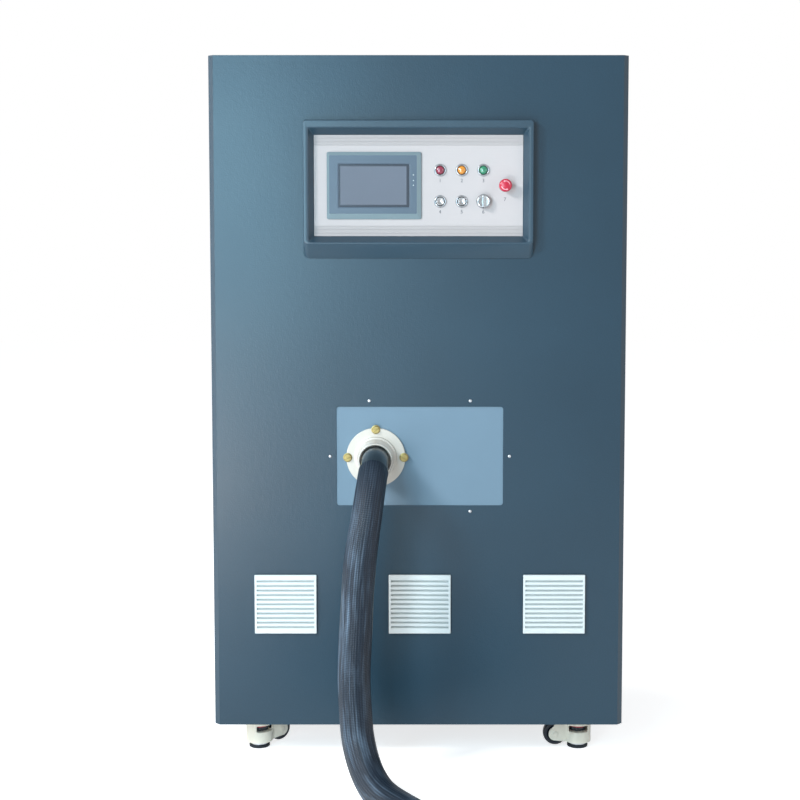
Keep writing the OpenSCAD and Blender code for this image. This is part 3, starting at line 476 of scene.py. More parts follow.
@dataclass(frozen=True)
class TwoTone(Moulded):
    """Moulded plastic in two colours, the second one below a level along an axis: 1 is depth, 2 is height. On the
    grille the main colour, behind the level, is greyer as painted shade in its grooves.
    """

    level: float = 0.05
    second: Tone = (20, 30, 40)
    axis: int = 2

    def pattern(self, bench: Bench) -> dict[str, Value]:
        """Makes the moulded plastic with its second colour.

        Args:
            bench: The material's bench.

        Returns:
            A value for each socket that varies.
        """
        made = super().pattern(bench)
        upper = bench.axes()[self.axis].above(self.level)
        made["Base Color"] = bench.between(upper, linear(self.second), made["Base Color"])
        return made


@dataclass(frozen=True)
class Cast(Moulded):
    """Painted casting: soft orange peel and a slight unevenness."""

    def pattern(self, bench: Bench) -> dict[str, Value]:
        """Makes the paint's peel and its unevenness.

        Args:
            bench: The material's bench.

        Returns:
            A value for each socket that varies.
        """
        made = super().pattern(bench)
        peel = bench.grain(210.0, 3.0)
        made["Normal"] = bench.relief(peel, 0.00025)
        return made


@dataclass(frozen=True)
class Rubber(Finish):
    """Matte rubber with a dusty bloom."""

    def pattern(self, bench: Bench) -> dict[str, Value]:
        """Makes the bloom and the fine pits.

        Args:
            bench: The material's bench.

        Returns:
            A value for each socket that varies.
        """
        bloom = bench.grain(32.0, 4.0)
        pits = bench.grain(800.0, 1.0)
        return {
            "Base Color": bench.between(bloom, shaded(self.tone, 0.82), shaded(self.tone, 1.22)),
            "Roughness": bloom * 0.16 + (self.roughness - 0.08),
            "Normal": bench.relief(pits + bloom * 0.5, 0.00012),
        }


@dataclass(frozen=True)
class Braid(Finish):
    """Woven sleeve: warp along the cable, weft round it and creases, over its own map in metres.

    Its crests carry painted highlights, brightest on the side of the cable that faces the light, which start some way
    below the flange.
    """

    warp: float = 0.0058
    weft: float = 0.0040
    # Tone of the painted highlights on the crests.
    dust: Tone = (110, 131, 152)
    # Where round the sleeve the painted light is strongest.
    worn_side: float = -0.040
    # Distance along the cable where the painted highlights begin.
    clean_to: float = 0.080

    def pattern(self, bench: Bench) -> dict[str, Value]:
        """Makes the threads, the creases along the sleeve and the painted highlights on their crests.

        Args:
            bench: The material's bench.

        Returns:
            A value for each socket that varies.
        """
        around, along, _ = bench.axes("UV")
        warp = around.wave(self.warp)
        weft = along.wave(self.weft)
        threads = warp * 0.5 + weft * 0.5
        creases = bench.grain(1.0, 3.0, (120.0, 7.5, 1.0), "UV")
        folds = bench.grain(1.0, 2.0, (17.0, 8.0, 1.0), "UV")
        # Painted light: the sleeve is lighter on the side that faces the light.
        lit_side_share = (around + self.worn_side).wave(2 * math.pi * SLEEVE_RADIUS) * 0.95 + 0.20
        start = ((along - self.clean_to) * 8.0).held()
        # Painted highlights along the crests of the creases.
        crest_highlight = ((creases * 0.6 + folds * 0.4 - 0.48) * 5.5).held() * start * lit_side_share
        tone = (crest_highlight * 0.80 * (threads * 0.75 + 0.25) + threads * lit_side_share * 0.17).held()
        return {
            "Base Color": bench.between(tone, shaded(self.tone, 0.45), linear(self.dust)),
            "Roughness": creases * 0.14 - threads * 0.10 + self.roughness,
            "Normal": bench.relief(threads * 0.55 + creases * 2.2 + folds * 1.6, 0.0011),
        }


@dataclass(frozen=True)
class Striped(Finish):
    """Layers or turns seen as fine stripes along one axis: core sheets, wound wire, fins."""

    axis: int = 1
    pitch: float = 0.0016
    depth: float = 0.0003
    contrast: float = 0.18

    def pattern(self, bench: Bench) -> dict[str, Value]:
        """Makes the stripes in colour and relief.

        Args:
            bench: The material's bench.

        Returns:
            A value for each socket that varies.
        """
        stripe = bench.axes()[self.axis].wave(self.pitch)
        cloud = bench.grain(40.0, 3.0)
        mix = (stripe * 0.6 + cloud * 0.5).held()
        return {
            "Base Color": bench.between(
                mix, shaded(self.tone, 1 - self.contrast), shaded(self.tone, 1 + self.contrast)
            ),
            "Roughness": cloud * 0.2 + (self.roughness - 0.1),
            "Normal": bench.relief(stripe + cloud * 0.3, self.depth),
        }


@dataclass(frozen=True)
class Laminate(Finish):
    """Insulating board: matte resin with a faint weave of glass."""

    thread: float = 0.0021

    def pattern(self, bench: Bench) -> dict[str, Value]:
        """Makes the weave and the cloudy resin.

        Args:
            bench: The material's bench.

        Returns:
            A value for each socket that varies.
        """
        across, _, up = bench.axes()
        weave = across.wave(self.thread) * 0.5 + up.wave(self.thread) * 0.5
        cloud = bench.grain(16.0, 4.0)
        mix = (weave * 0.35 + cloud * 0.6).held()
        return {
            "Base Color": bench.between(mix, shaded(self.tone, 0.91), shaded(self.tone, 1.07)),
            "Roughness": cloud * 0.14 + (self.roughness - 0.07),
            "Normal": bench.relief(weave + cloud, 0.00008),
        }


@dataclass(frozen=True)
class CircuitBoard(Finish):
    """Green lacquered board with its tracks."""

    pitches: tuple[float, float] = (0.006, 0.0085)

    def pattern(self, bench: Bench) -> dict[str, Value]:
        """Makes the tracks under the lacquer.

        Args:
            bench: The material's bench.

        Returns:
            A value for each socket that varies.
        """
        across, _, up = bench.axes()
        tracks = (across.wave(self.pitches[0]) * 0.5 + up.wave(self.pitches[1]) * 0.5).above(0.62)
        cloud = bench.grain(60.0, 2.0)
        return {
            "Base Color": bench.between(
                tracks * 0.7 + cloud * 0.3, shaded(self.tone, 0.8), shaded(self.tone, 1.5)
            ),
            "Roughness": cloud * 0.2 + (self.roughness - 0.1),
            "Normal": bench.relief(tracks, 0.0001),
        }


@dataclass(frozen=True)
class Lens(Finish):
    """Coloured lens with a fluted pattern moulded inside it."""

    def pattern(self, bench: Bench) -> dict[str, Value]:
        """Makes the flutes and the deeper colour between them.

        Args:
            bench: The material's bench.

        Returns:
            A value for each socket that varies.
        """
        flute = bench.cells(620.0)
        return {
            "Base Color": bench.between(flute, shaded(self.tone, 1.35), shaded(self.tone, 0.55)),
            "Roughness": flute * 0.12 + (self.roughness - 0.05),
            "Normal": bench.relief(flute, 0.00015),
        }


@dataclass(frozen=True)
class Display(Finish):
    """Screen glass: the lit-out panel inside a thin dark border, with a painted reflection over the panel."""

    border: Tone = (22, 38, 56)
    middle: tuple[float, float] = (-0.105, CONSOLE_MIDDLE)
    half: tuple[float, float] = (0.0770, 0.0445)

    def pattern(self, bench: Bench) -> dict[str, Value]:
        """Makes the dark border, the grey panel and a painted reflection that lightens it towards one corner.

        Args:
            bench: The material's bench.

        Returns:
            A value for each socket that varies.
        """
        across, _, up = bench.axes()
        outside = (across - self.middle[0]).size().above(self.half[0]).larger(
            (up - self.middle[1]).size().above(self.half[1])
        )
        # Painted reflection: the panel lightens towards its upper right corner.
        drift = ((across - self.middle[0]) * 2.6 + (up - self.middle[1]) * 2.2 + 0.5).held()
        dots = bench.grain(2600.0, 1.0) * 0.12 + drift * 0.88
        panel = bench.between(dots, shaded(self.tone, 0.90), shaded(self.tone, 1.14))
        return {
            "Base Color": bench.between(outside, panel, linear(self.border)),
            "Roughness": outside * 0.10 + bench.grain(40.0) * 0.06 + (self.roughness - 0.03),
        }


class Slot(str, Enum):
    """Material slots of the record."""

    CABINET = "cabinet_paint"
    FRAME = "frame_paint"
    ZINC = "zinc_steel"
    FACE = "face_aluminium"
    SCREEN = "screen_plastic"
    GLASS = "screen_glass"
    RING = "chrome_ring"
    RED_LENS = "red_lens"
    AMBER_LENS = "amber_lens"
    GREEN_LENS = "green_lens"
    BUTTON = "button_metal"
    RED = "red_plastic"
    BLACK = "black_plastic"
    BOARD = "board_laminate"
    ENAMEL = "white_enamel"
    BRASS = "brass_screw"
    RUBBER = "black_rubber"
    WHITE = "white_plastic"
    RAW = "raw_aluminium"
    CAN = "can_aluminium"
    CORE = "core_steel"
    WINDING = "winding_resin"
    GREEN = "board_green"
    FAN = "fan_metal"
    SLEEVE = "cable_sleeve"
    IVORY = "ivory_paint"
    NYLON = "wheel_nylon"
    FOOT = "foot_rubber"
    DIAL = "dial_plastic"


FINISHES: dict[Slot, Finish] = {
    Slot.CABINET: PowderCoat("Cabinet powder coat", (28, 58, 75), 0.31, specular=0.44),
    Slot.FRAME: PowderCoat("Frame paint", (58, 68, 80), 0.55),
    Slot.ZINC: Plated("Zinc plating", (196, 200, 205), 0.34, 1.0),
    Slot.FACE: Face("Anodised face", (201, 194, 194), 0.48, 0.05, specular=0.30),
    Slot.SCREEN: Moulded("Screen housing plastic", (77, 94, 110), 0.42),
    Slot.GLASS: Display("Screen glass", (88, 99, 115), 0.14, 0.0, 0.25),
    Slot.RING: Polished("Chrome rings", (168, 172, 176), 0.22, 1.0),
    Slot.RED_LENS: Lens("Red lens", (142, 16, 58), 0.16, 0.0, 1.0),
    Slot.AMBER_LENS: Lens("Amber lens", (226, 140, 24), 0.16, 0.0, 1.0),
    Slot.GREEN_LENS: Lens("Green lens", (4, 134, 96), 0.16, 0.0, 1.0),
    Slot.BUTTON: Polished("Turned button metal", (160, 163, 166), 0.26, 1.0),
    Slot.RED: Moulded("Red button plastic", (192, 16, 56), 0.34, 0.0, 0.3),
    Slot.BLACK: Moulded("Black plastic", (36, 38, 42), 0.45),
    Slot.BOARD: Laminate("Outlet board laminate", (113, 138, 156), 0.62, specular=0.35),
    Slot.ENAMEL: Cast("White enamel", (206, 201, 192), 0.30, 0.0, 0.4),
    Slot.BRASS: Plated("Brass", (152, 138, 92), 0.38, 1.0),
    Slot.RUBBER: Rubber("Grey tube rubber", (44, 56, 64), 0.30, specular=0.7),
    # Painted shade: the grille plastic is greyer behind its front faces, in the grooves between the blades.
    Slot.WHITE: TwoTone(
        "White grille plastic", (204, 213, 213), 0.40, level=-0.3479, second=(222, 230, 231), axis=1
    ),
    Slot.RAW: Brushed("Raw aluminium", (180, 184, 188), 0.38, 1.0),
    Slot.CAN: Finish("Capacitor sleeve", (52, 106, 156), 0.35, 0.0, 0.3),
    Slot.CORE: Striped("Core sheets", (84, 88, 93), 0.5, 0.7),
    Slot.WINDING: Striped("Varnished winding", (158, 88, 42), 0.35, 0.3, 0.3, 2, 0.005, 0.0009),
    Slot.GREEN: CircuitBoard("Board lacquer", (24, 96, 62), 0.35, 0.0, 0.3),
    Slot.FAN: Moulded("Fan metal", (46, 50, 54), 0.45, 0.3),
    Slot.SLEEVE: Braid("Woven sleeve", (11, 30, 50), 0.42, specular=0.28),
    Slot.IVORY: Cast("Ivory paint", (240, 234, 218), 0.34),
    Slot.NYLON: Moulded("Wheel nylon", (10, 22, 34), 0.42, specular=0.35),
    Slot.FOOT: Rubber("Foot rubber", (16, 26, 34), 0.6, specular=0.3),
    Slot.DIAL: TwoTone("Dial plastic", (196, 44, 60), 0.38, level=0.0515),
}


# Painted highlight: the housing's bevels are a lighter copy of its plastic.
SCREEN_EDGE_HIGHLIGHT = Moulded("Screen housing edge highlight", (122, 141, 148), 0.38)
ARROWS = Moulded("Arrow inlay", (236, 160, 172), 0.40)
PRINT = Moulded("Printed numbers", (74, 78, 86), 0.50)
SLAT_GAP = Moulded("Filter mat", (132, 142, 146), 0.80)
# Painted sheen: the console frame wears a lighter copy of the cabinet's paint.
CONSOLE_SHEEN_PAINT = PowderCoat("Console frame paint with painted sheen", (42, 68, 84), 0.33, 0.0, 0.0, 300.0, 0.00010, specular=0.5)


def coat(slot: Slot | Finish) -> bpy.types.Material:
    """Returns the material of a slot, or of a finish of its own."""
    return (FINISHES[slot] if isinstance(slot, Slot) else slot).material()


@dataclass
class Form:
    """Points and faces gathered for one piece, each face with the number of its material."""

    points: list[Vector] = field(default_factory=list)
    faces: list[tuple[int, ...]] = field(default_factory=list)
    marks: list[int] = field(default_factory=list)

    def add(self, points: Iterable[Sequence[float]], faces: Iterable[Sequence[int]], mark: int = 0) -> Form:
        """Adds points and faces.

        Args:
            points: The points.
            faces: Faces, whose numbers count from the first of these points.
            mark: Number of their material.

        Returns:
            The form.
        """
        start = len(self.points)
        self.points.extend(Vector(p) for p in points)
        for face in faces:
            self.faces.append(tuple(start + k for k in face))
            self.marks.append(mark)
        return self

    def layers(
        self, loops: Sequence[Sequence[Sequence[float]]], closed: bool = False, mark: int = 0,
        marks: Sequence[int] | None = None,
    ) -> Form:
        """Joins loops of equal length one after another.

        Args:
            loops: The loops, each a list of points.
            closed: Joins the last loop to the first, in place of two caps.
            mark: Material of all the faces.
            marks: Material of each step from a loop to the next, in place of mark.

        Returns:
            The form.
        """
        count, steps = len(loops[0]), len(loops)
        start = len(self.points)
        self.points.extend(Vector(p) for loop in loops for p in loop)
        for i in range(steps if closed else steps - 1):
            j = (i + 1) % steps
            for k in range(count):
                m = (k + 1) % count
                self.faces.append((
                    start + i * count + k, start + i * count + m, start + j * count + m, start + j * count + k
                ))
                self.marks.append(marks[i] if marks else mark)
        if not closed:
            self.faces.append(tuple(start + k for k in range(count)))
            self.faces.append(tuple(start + (steps - 1) * count + k for k in reversed(range(count))))
            self.marks.extend([marks[0], marks[-1]] if marks else [mark, mark])
        return self

    def turned(
        self, profile: Sequence[tuple[float, float]], place: Matrix, closed: bool = False,
        mark: int = 0, steps: int = 64, marks: Sequence[int] | None = None,
    ) -> Form:
        """Turns a profile round the Z axis of a place.

        Args:
            profile: Radius and height of each point; a radius of 0 at an end closes it there.
            place: Where the turned form stands.
            closed: The profile is a ring that closes on its first point.
            mark: Material of all the faces.
            steps: Faces round the form.
            marks: Material of each step of the profile, in place of mark.

        Returns:
            The form.
        """
        rings: list[list[int]] = []
        for radius, height in profile:
            ring = []
            if radius < AT_AXIS:
                ring.append(len(self.points))
                self.points.append(place @ Vector((0, 0, height)))
            else:
                for k in range(steps):
                    a = 2 * math.pi * k / steps
                    ring.append(len(self.points))
                    self.points.append(place @ Vector((radius * math.cos(a), radius * math.sin(a), height)))
            rings.append(ring)
        pairs = list(zip(rings, rings[1:])) + ([(rings[-1], rings[0])] if closed else [])
        for step, (one, two) in enumerate(pairs):
            for k in range(steps):
                m = (k + 1) % steps
                corners = (one[k % len(one)], one[m % len(one)], two[m % len(two)], two[k % len(two)])
                face = tuple(dict.fromkeys(corners))
                if len(face) > 2:
                    self.faces.append(face)
                    self.marks.append(marks[step] if marks else mark)
        if not closed:
            for ring in (rings[0], rings[-1]):
                if len(ring) > 1:
                    self.faces.append(tuple(ring))
                    self.marks.append(mark)
        return self

    def block(self, low: Sequence[float], high: Sequence[float], mark: int = 0, place: Matrix | None = None) -> Form:
        """Adds a box.

        Args:
            low: Its lowest corner.
            high: Its highest corner.
            mark: Number of its material.
            place: Where the corners are measured from, else the origin.

        Returns:
            The form.
        """
        spots = [(x, y, z) for z in (low[2], high[2]) for y in (low[1], high[1]) for x in (low[0], high[0])]
        if place:
            spots = [place @ Vector(p) for p in spots]
        return self.add(
            spots, [(0, 1, 3, 2), (4, 6, 7, 5), (0, 4, 5, 1), (2, 3, 7, 6), (0, 2, 6, 4), (1, 5, 7, 3)], mark
        )

    def mesh(self, name: str) -> bpy.types.Mesh:
        """Makes a mesh whose faces point outwards.

        Args:
            name: Its name.

        Returns:
            The mesh.
        """
        made = bpy.data.meshes.new(name)
        made.from_pydata([tuple(p) for p in self.points], [], self.faces)
        made.polygons.foreach_set("material_index", self.marks)
        work = bmesh.new()
        work.from_mesh(made)
        bmesh.ops.recalc_face_normals(work, faces=work.faces)
        work.to_mesh(made)
        work.free()
        return made


def turned_by(degrees: float, axis: str) -> Matrix:
    """Returns a turn about an axis."""
    return Matrix.Rotation(math.radians(degrees), 4, axis)


def facing_front(x: float, y: float, z: float, turn: float = 0.0) -> Matrix:
    """Returns a place whose Z axis points to the front, out of the cabinet, turned by an angle in radians."""
    return Matrix.Translation((x, y, z)) @ turned_by(90, "X") @ Matrix.Rotation(turn, 4, "Z")


def standing(x: float, y: float, z: float, turn: float = 0.0) -> Matrix:
    """Returns a place whose Z axis points up, turned by an angle in degrees."""
    return Matrix.Translation((x, y, z)) @ turned_by(turn, "Z")


def arc(radius: float, start: float, sweep: float, steps: int) -> list[tuple[float, float]]:
    """Returns points on an arc about the origin; the angles are in degrees and both ends are included."""
    turns = (math.radians(start + sweep * k / steps) for k in range(steps + 1))
    return [(radius * math.cos(a), radius * math.sin(a)) for a in turns]


def outline(
    x0: float, x1: float, z0: float, z1: float, y: float, radii: Sequence[float], steps: int = 6
) -> list[Point]:
    """Returns an upright rectangle with round corners.

    Args:
        x0: Left edge.
        x1: Right edge.
        z0: Lower edge.
        z1: Upper edge.
        y: Depth.
        radii: Radius of the corners, from the lower left one anticlockwise.
        steps: Edges at each corner.

    Returns:
        Its points.
    """
    corners = [(x0, z0, 1, 1, 180), (x1, z0, -1, 1, 270), (x1, z1, -1, -1, 0), (x0, z1, 1, -1, 90)]
    found = []
    for (x, z, sx, sz, start), r in zip(corners, radii):
        found.extend((x + sx * r + a, y, z + sz * r + b) for a, b in arc(r, start, 90, steps))
    return found


def centred(
    x: float, z: float, half_width: float, half_height: float, y: float, radius: float, steps: int = 6
) -> list[Point]:
    """Returns an upright rectangle about its middle, with four corners of one radius."""
    return outline(x - half_width, x + half_width, z - half_height, z + half_height, y, (radius,) * 4, steps)


def in_scene(name: str, data: bpy.types.ID) -> bpy.types.Object:
    """Puts new data in the scene.

    Args:
        name: The object's name.
        data: Its mesh, curve, lamp or camera.

    Returns:
        The object.
    """
    made = bpy.data.objects.new(name, data)
    bpy.context.scene.collection.objects.link(made)
    return made


def plain_mesh(obj: bpy.types.Object) -> bpy.types.Mesh:
    """Copies an object's final shape.

    Args:
        obj: The object, with its modifiers.

    Returns:
        Its shape as a new mesh.
    """
    bpy.context.view_layer.update()
    graph = bpy.context.evaluated_depsgraph_get()
    return bpy.data.meshes.new_from_object(obj.evaluated_get(graph), depsgraph=graph)


def evaluated(obj: bpy.types.Object) -> bpy.types.Object:
    """Turns an object's modifiers into its plain mesh.

    Args:
        obj: The object.

    Returns:
        The object.
    """
    mesh = plain_mesh(obj)
    obj.modifiers.clear()
    obj.data = mesh
    return obj


def creased(mesh: bpy.types.Mesh, degrees: float) -> bpy.types.Mesh:
    """Shades a mesh smoothly, apart from its sharp edges.

    Args:
        mesh: The mesh.
        degrees: Least angle of an edge that stays sharp.

    Returns:
        The mesh.
    """
    mesh.shade_smooth()
    mesh.set_sharp_from_angle(angle=math.radians(degrees))
    return mesh


def shown(name: str, mesh: bpy.types.Mesh, slots: Sequence[Slot | Finish]) -> bpy.types.Object:
    """Puts a mesh in the scene with its materials.

    Args:
        name: The object's name.
        mesh: The mesh.
        slots: Its slots or finishes, in the order of its marks.

    Returns:
        The object.
    """
    marks = [face.material_index for face in mesh.polygons]
    mesh.materials.clear()
    for slot in slots:
        mesh.materials.append(coat(slot))
    mesh.polygons.foreach_set("material_index", marks)
    return in_scene(name, mesh)


def softened(obj: bpy.types.Object, width: float, segments: int = 2, limit: float = 30.0) -> bpy.types.Object:
    """Rounds an object's edges and evens its shading.

    Args:
        obj: The object.
        width: Width of the rounding; 0 leaves the edges as they are.
        segments: Faces across the rounding.
        limit: Least angle of an edge that is rounded, in degrees.

    Returns:
        The object.
    """
    if width > 0:
        bevel = obj.modifiers.new("Edges", "BEVEL")
        bevel.width, bevel.segments = width, segments
        bevel.limit_method, bevel.angle_limit = "ANGLE", math.radians(limit)
        bevel.use_clamp_overlap = True
        evaluated(obj)
    creased(obj.data, SHARP_DEGREES)
    even = obj.modifiers.new("Even", "WEIGHTED_NORMAL")
    even.keep_sharp, even.weight = True, 60
    return evaluated(obj)


@dataclass
class Machine:
    """The loaded frame, and how pieces are settled on it."""

    frame: dict
    count: int = 0

    def body_of(self, node: str) -> str:
        """Returns the body that a CAD node rides on."""
        return self.frame["nodes"][node]["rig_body"]

    def settle(
        self, obj: bpy.types.Object, body: str, nodes: Sequence[str] = ()
    ) -> bpy.types.Object:
        """Gives a piece its body and the nodes that it stands for.

        Args:
            obj: The finished piece.
            body: The body that it rides on.
            nodes: CAD nodes that it replaces.

        Returns:
            The piece.
        """
        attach(obj, body)
        if nodes:
            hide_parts(*nodes)
        self.count += 1
        log.info("%s on %s, %d faces", obj.name, body, len(obj.data.polygons))
        return obj

    def make(
        self, name: str, form: Form, slots: Sequence[Slot | Finish], node: str,
        width: float = 0.0, segments: int = 2, limit: float = 30.0,
    ) -> bpy.types.Object:
        """Makes the piece that stands for a CAD node from a form.

        Args:
            name: The piece's name.
            form: Its points and faces.
            slots: Slots of its materials, in the order of its marks.
            node: The CAD node that it replaces, whose body it rides on.
            width: Rounding of its edges.
            segments: Faces across the rounding.
            limit: Least angle of a rounded edge.

        Returns:
            The piece.
        """
        obj = softened(shown(name, form.mesh(name), slots), width, segments, limit)
        return self.settle(obj, self.body_of(node), [node])

    def copied(
        self, node: str, keep: Callable[[Vector, Vector], bool] | None = None,
        pick: Callable[[Vector, Vector], int] | None = None,
    ) -> bpy.types.Mesh:
        """Returns a merged copy of a CAD node's mesh.

        Args:
            node: The node.
            keep: Tells from a solid's corners whether it is kept.
            pick: Gives from a solid's corners the number of its material.

        Returns:
            The mesh.
        """
        mesh = self.frame["nodes"][node].data.copy()
        work = bmesh.new()
        work.from_mesh(mesh)
        bmesh.ops.remove_doubles(work, verts=work.verts, dist=MERGE_WITHIN)
        for island in islands(work):
            spots = [v.co for f in island for v in f.verts]
            low = Vector(min(p[k] for p in spots) for k in range(3))
            high = Vector(max(p[k] for p in spots) for k in range(3))
            if keep and not keep(low, high):
                bmesh.ops.delete(work, geom=island, context="FACES")
                continue
            mark = pick(low, high) if pick else 0
            for face in island:
                face.material_index = mark
        bmesh.ops.dissolve_limit(
            work, angle_limit=math.radians(FLAT_DEGREES), verts=work.verts, edges=work.edges, delimit={"MATERIAL"}
        )
        work.to_mesh(mesh)
        work.free()
        return mesh

    def dress(
        self, node: str, slots: Sequence[Slot], width: float = 0.0006, name: str = "",
        keep: Callable[[Vector, Vector], bool] | None = None,
        pick: Callable[[Vector, Vector], int] | None = None,
    ) -> bpy.types.Object:
        """Dresses a CAD node: a copy with softened edges and its finish stands for it.

        Args:
            node: The node.
            slots: Slots of its materials.
            width: Rounding of its edges.
            name: Name of the piece, else the node's with an ending.
            keep: Tells which of the node's solids stay.
            pick: Gives each solid's material.

        Returns:
            The piece.
        """
        made = shown(name or node + "_dressed", self.copied(node, keep, pick), slots)
        return self.settle(softened(made, width), self.body_of(node), [node])

    def paint(self, node: str, slot: Slot) -> None:
        """Gives a CAD node that stays as it is its finish.

        Args:
            node: The node.
            slot: Slot of its finish.
        """
        held = self.frame["nodes"][node]
        held.data.materials.clear()
        held.data.materials.append(coat(slot))


def islands(work: bmesh.types.BMesh) -> list[list[bmesh.types.BMFace]]:
    """Finds the connected parts of a mesh.

    Args:
        work: The mesh.

    Returns:
        The faces of each part.
    """
    left = set(work.faces)
    found = []
    while left:
        seed = left.pop()
        group, edge = [seed], [seed]
        while edge:
            face = edge.pop()
            for side in face.edges:
                for other in side.link_faces:
                    if other in left:
                        left.discard(other)
                        group.append(other)
                        edge.append(other)
        found.append(group)
    return found


class Repeats:
    """Geometry Nodes trees for what repeats on the machine."""

    @staticmethod
    def tree(
        name: str, sockets: Sequence[tuple[str, str, object]]
    ) -> tuple[Bench, bpy.types.Node, bpy.types.Node]:
        """Starts a tree.

        Args:
            name: The tree's name.
            sockets: Name, type and default of each input.

        Returns:
            The bench, the input node and the output node.
        """
        group = bpy.data.node_groups.new(name, "GeometryNodeTree")
        group.interface.new_socket("Geometry", in_out="INPUT", socket_type="NodeSocketGeometry")
        for label, kind, default in sockets:
            made = group.interface.new_socket(label, in_out="INPUT", socket_type=kind)
            if default is not None:
                made.default_value = default
        group.interface.new_socket("Geometry", in_out="OUTPUT", socket_type="NodeSocketGeometry")
        bench = Bench(group)
        return bench, bench.node("NodeGroupInput"), bench.node("NodeGroupOutput")

    @staticmethod
    def run(
        name: str, group: bpy.types.NodeTree, values: dict[str, object], mesh: bpy.types.Mesh
    ) -> bpy.types.Object:
        """Runs a tree on a mesh.

        Args:
            name: Name of the new object.
            group: The tree.
            values: Value of each named input.
            mesh: The mesh that it starts from.

        Returns:
            The object with its plain mesh.
        """
        made = in_scene(name, mesh)
        nodes = made.modifiers.new("Repeats", "NODES")
        nodes.node_group = group
        for item in group.interface.items_tree:
            if item.item_type == "SOCKET" and item.in_out == "INPUT" and item.name in values:
                nodes[item.identifier] = values[item.name]
        return evaluated(made)

    @classmethod
    def on_points(
        cls, name: str, template: bpy.types.Mesh, places: Sequence[Matrix], slot: Slot
    ) -> bpy.types.Object:
        """Repeats a template at places.

        Args:
            name: Name of the new object.
            template: The mesh that is repeated.
            places: Where each one stands.
            slot: Slot of the finish.

        Returns:
            The object with its plain mesh.
        """
        bench, given, out = cls.tree(
            "Repeat on points",
            [("Template", "NodeSocketObject", None), ("Size", "NodeSocketFloat", 1.0),
             ("Finish", "NodeSocketMaterial", None)],
        )
        info = bench.node("GeometryNodeObjectInfo", {}, {"Object": given.outputs["Template"]})
        turn = bench.node("GeometryNodeInputNamedAttribute", {"data_type": "FLOAT_VECTOR"}, {"Name": "turn"})
        spread = bench.node(
            "GeometryNodeInstanceOnPoints", {},
            {"Points": given.outputs["Geometry"], "Instance": info.outputs["Geometry"],
             "Rotation": turn.outputs["Attribute"], "Scale": given.outputs["Size"]},
        )
        real = bench.node("GeometryNodeRealizeInstances", {}, {"Geometry": spread.outputs[0]})
        done = bench.node(
            "GeometryNodeSetMaterial", {}, {"Geometry": real.outputs[0], "Material": given.outputs["Finish"]}
        )
        bench.feed(out.inputs[0], done.outputs[0])
        pattern = in_scene(name + "_template", template)
        spots = bpy.data.meshes.new(name)
        spots.from_pydata([tuple(p.to_translation()) for p in places], [], [])
        turns = spots.attributes.new("turn", "FLOAT_VECTOR", "POINT")
        turns.data.foreach_set("vector", [a for p in places for a in p.to_euler()])
        made = cls.run(name, bench.tree, {"Template": pattern, "Size": 1.0, "Finish": coat(slot)}, spots)
        bpy.data.objects.remove(pattern)
        return made


def share(value: float, span: float) -> float:
    """Returns what share of a span a value has reached, from 0 to 1."""
    return min(1.0, max(0.0, value / span))


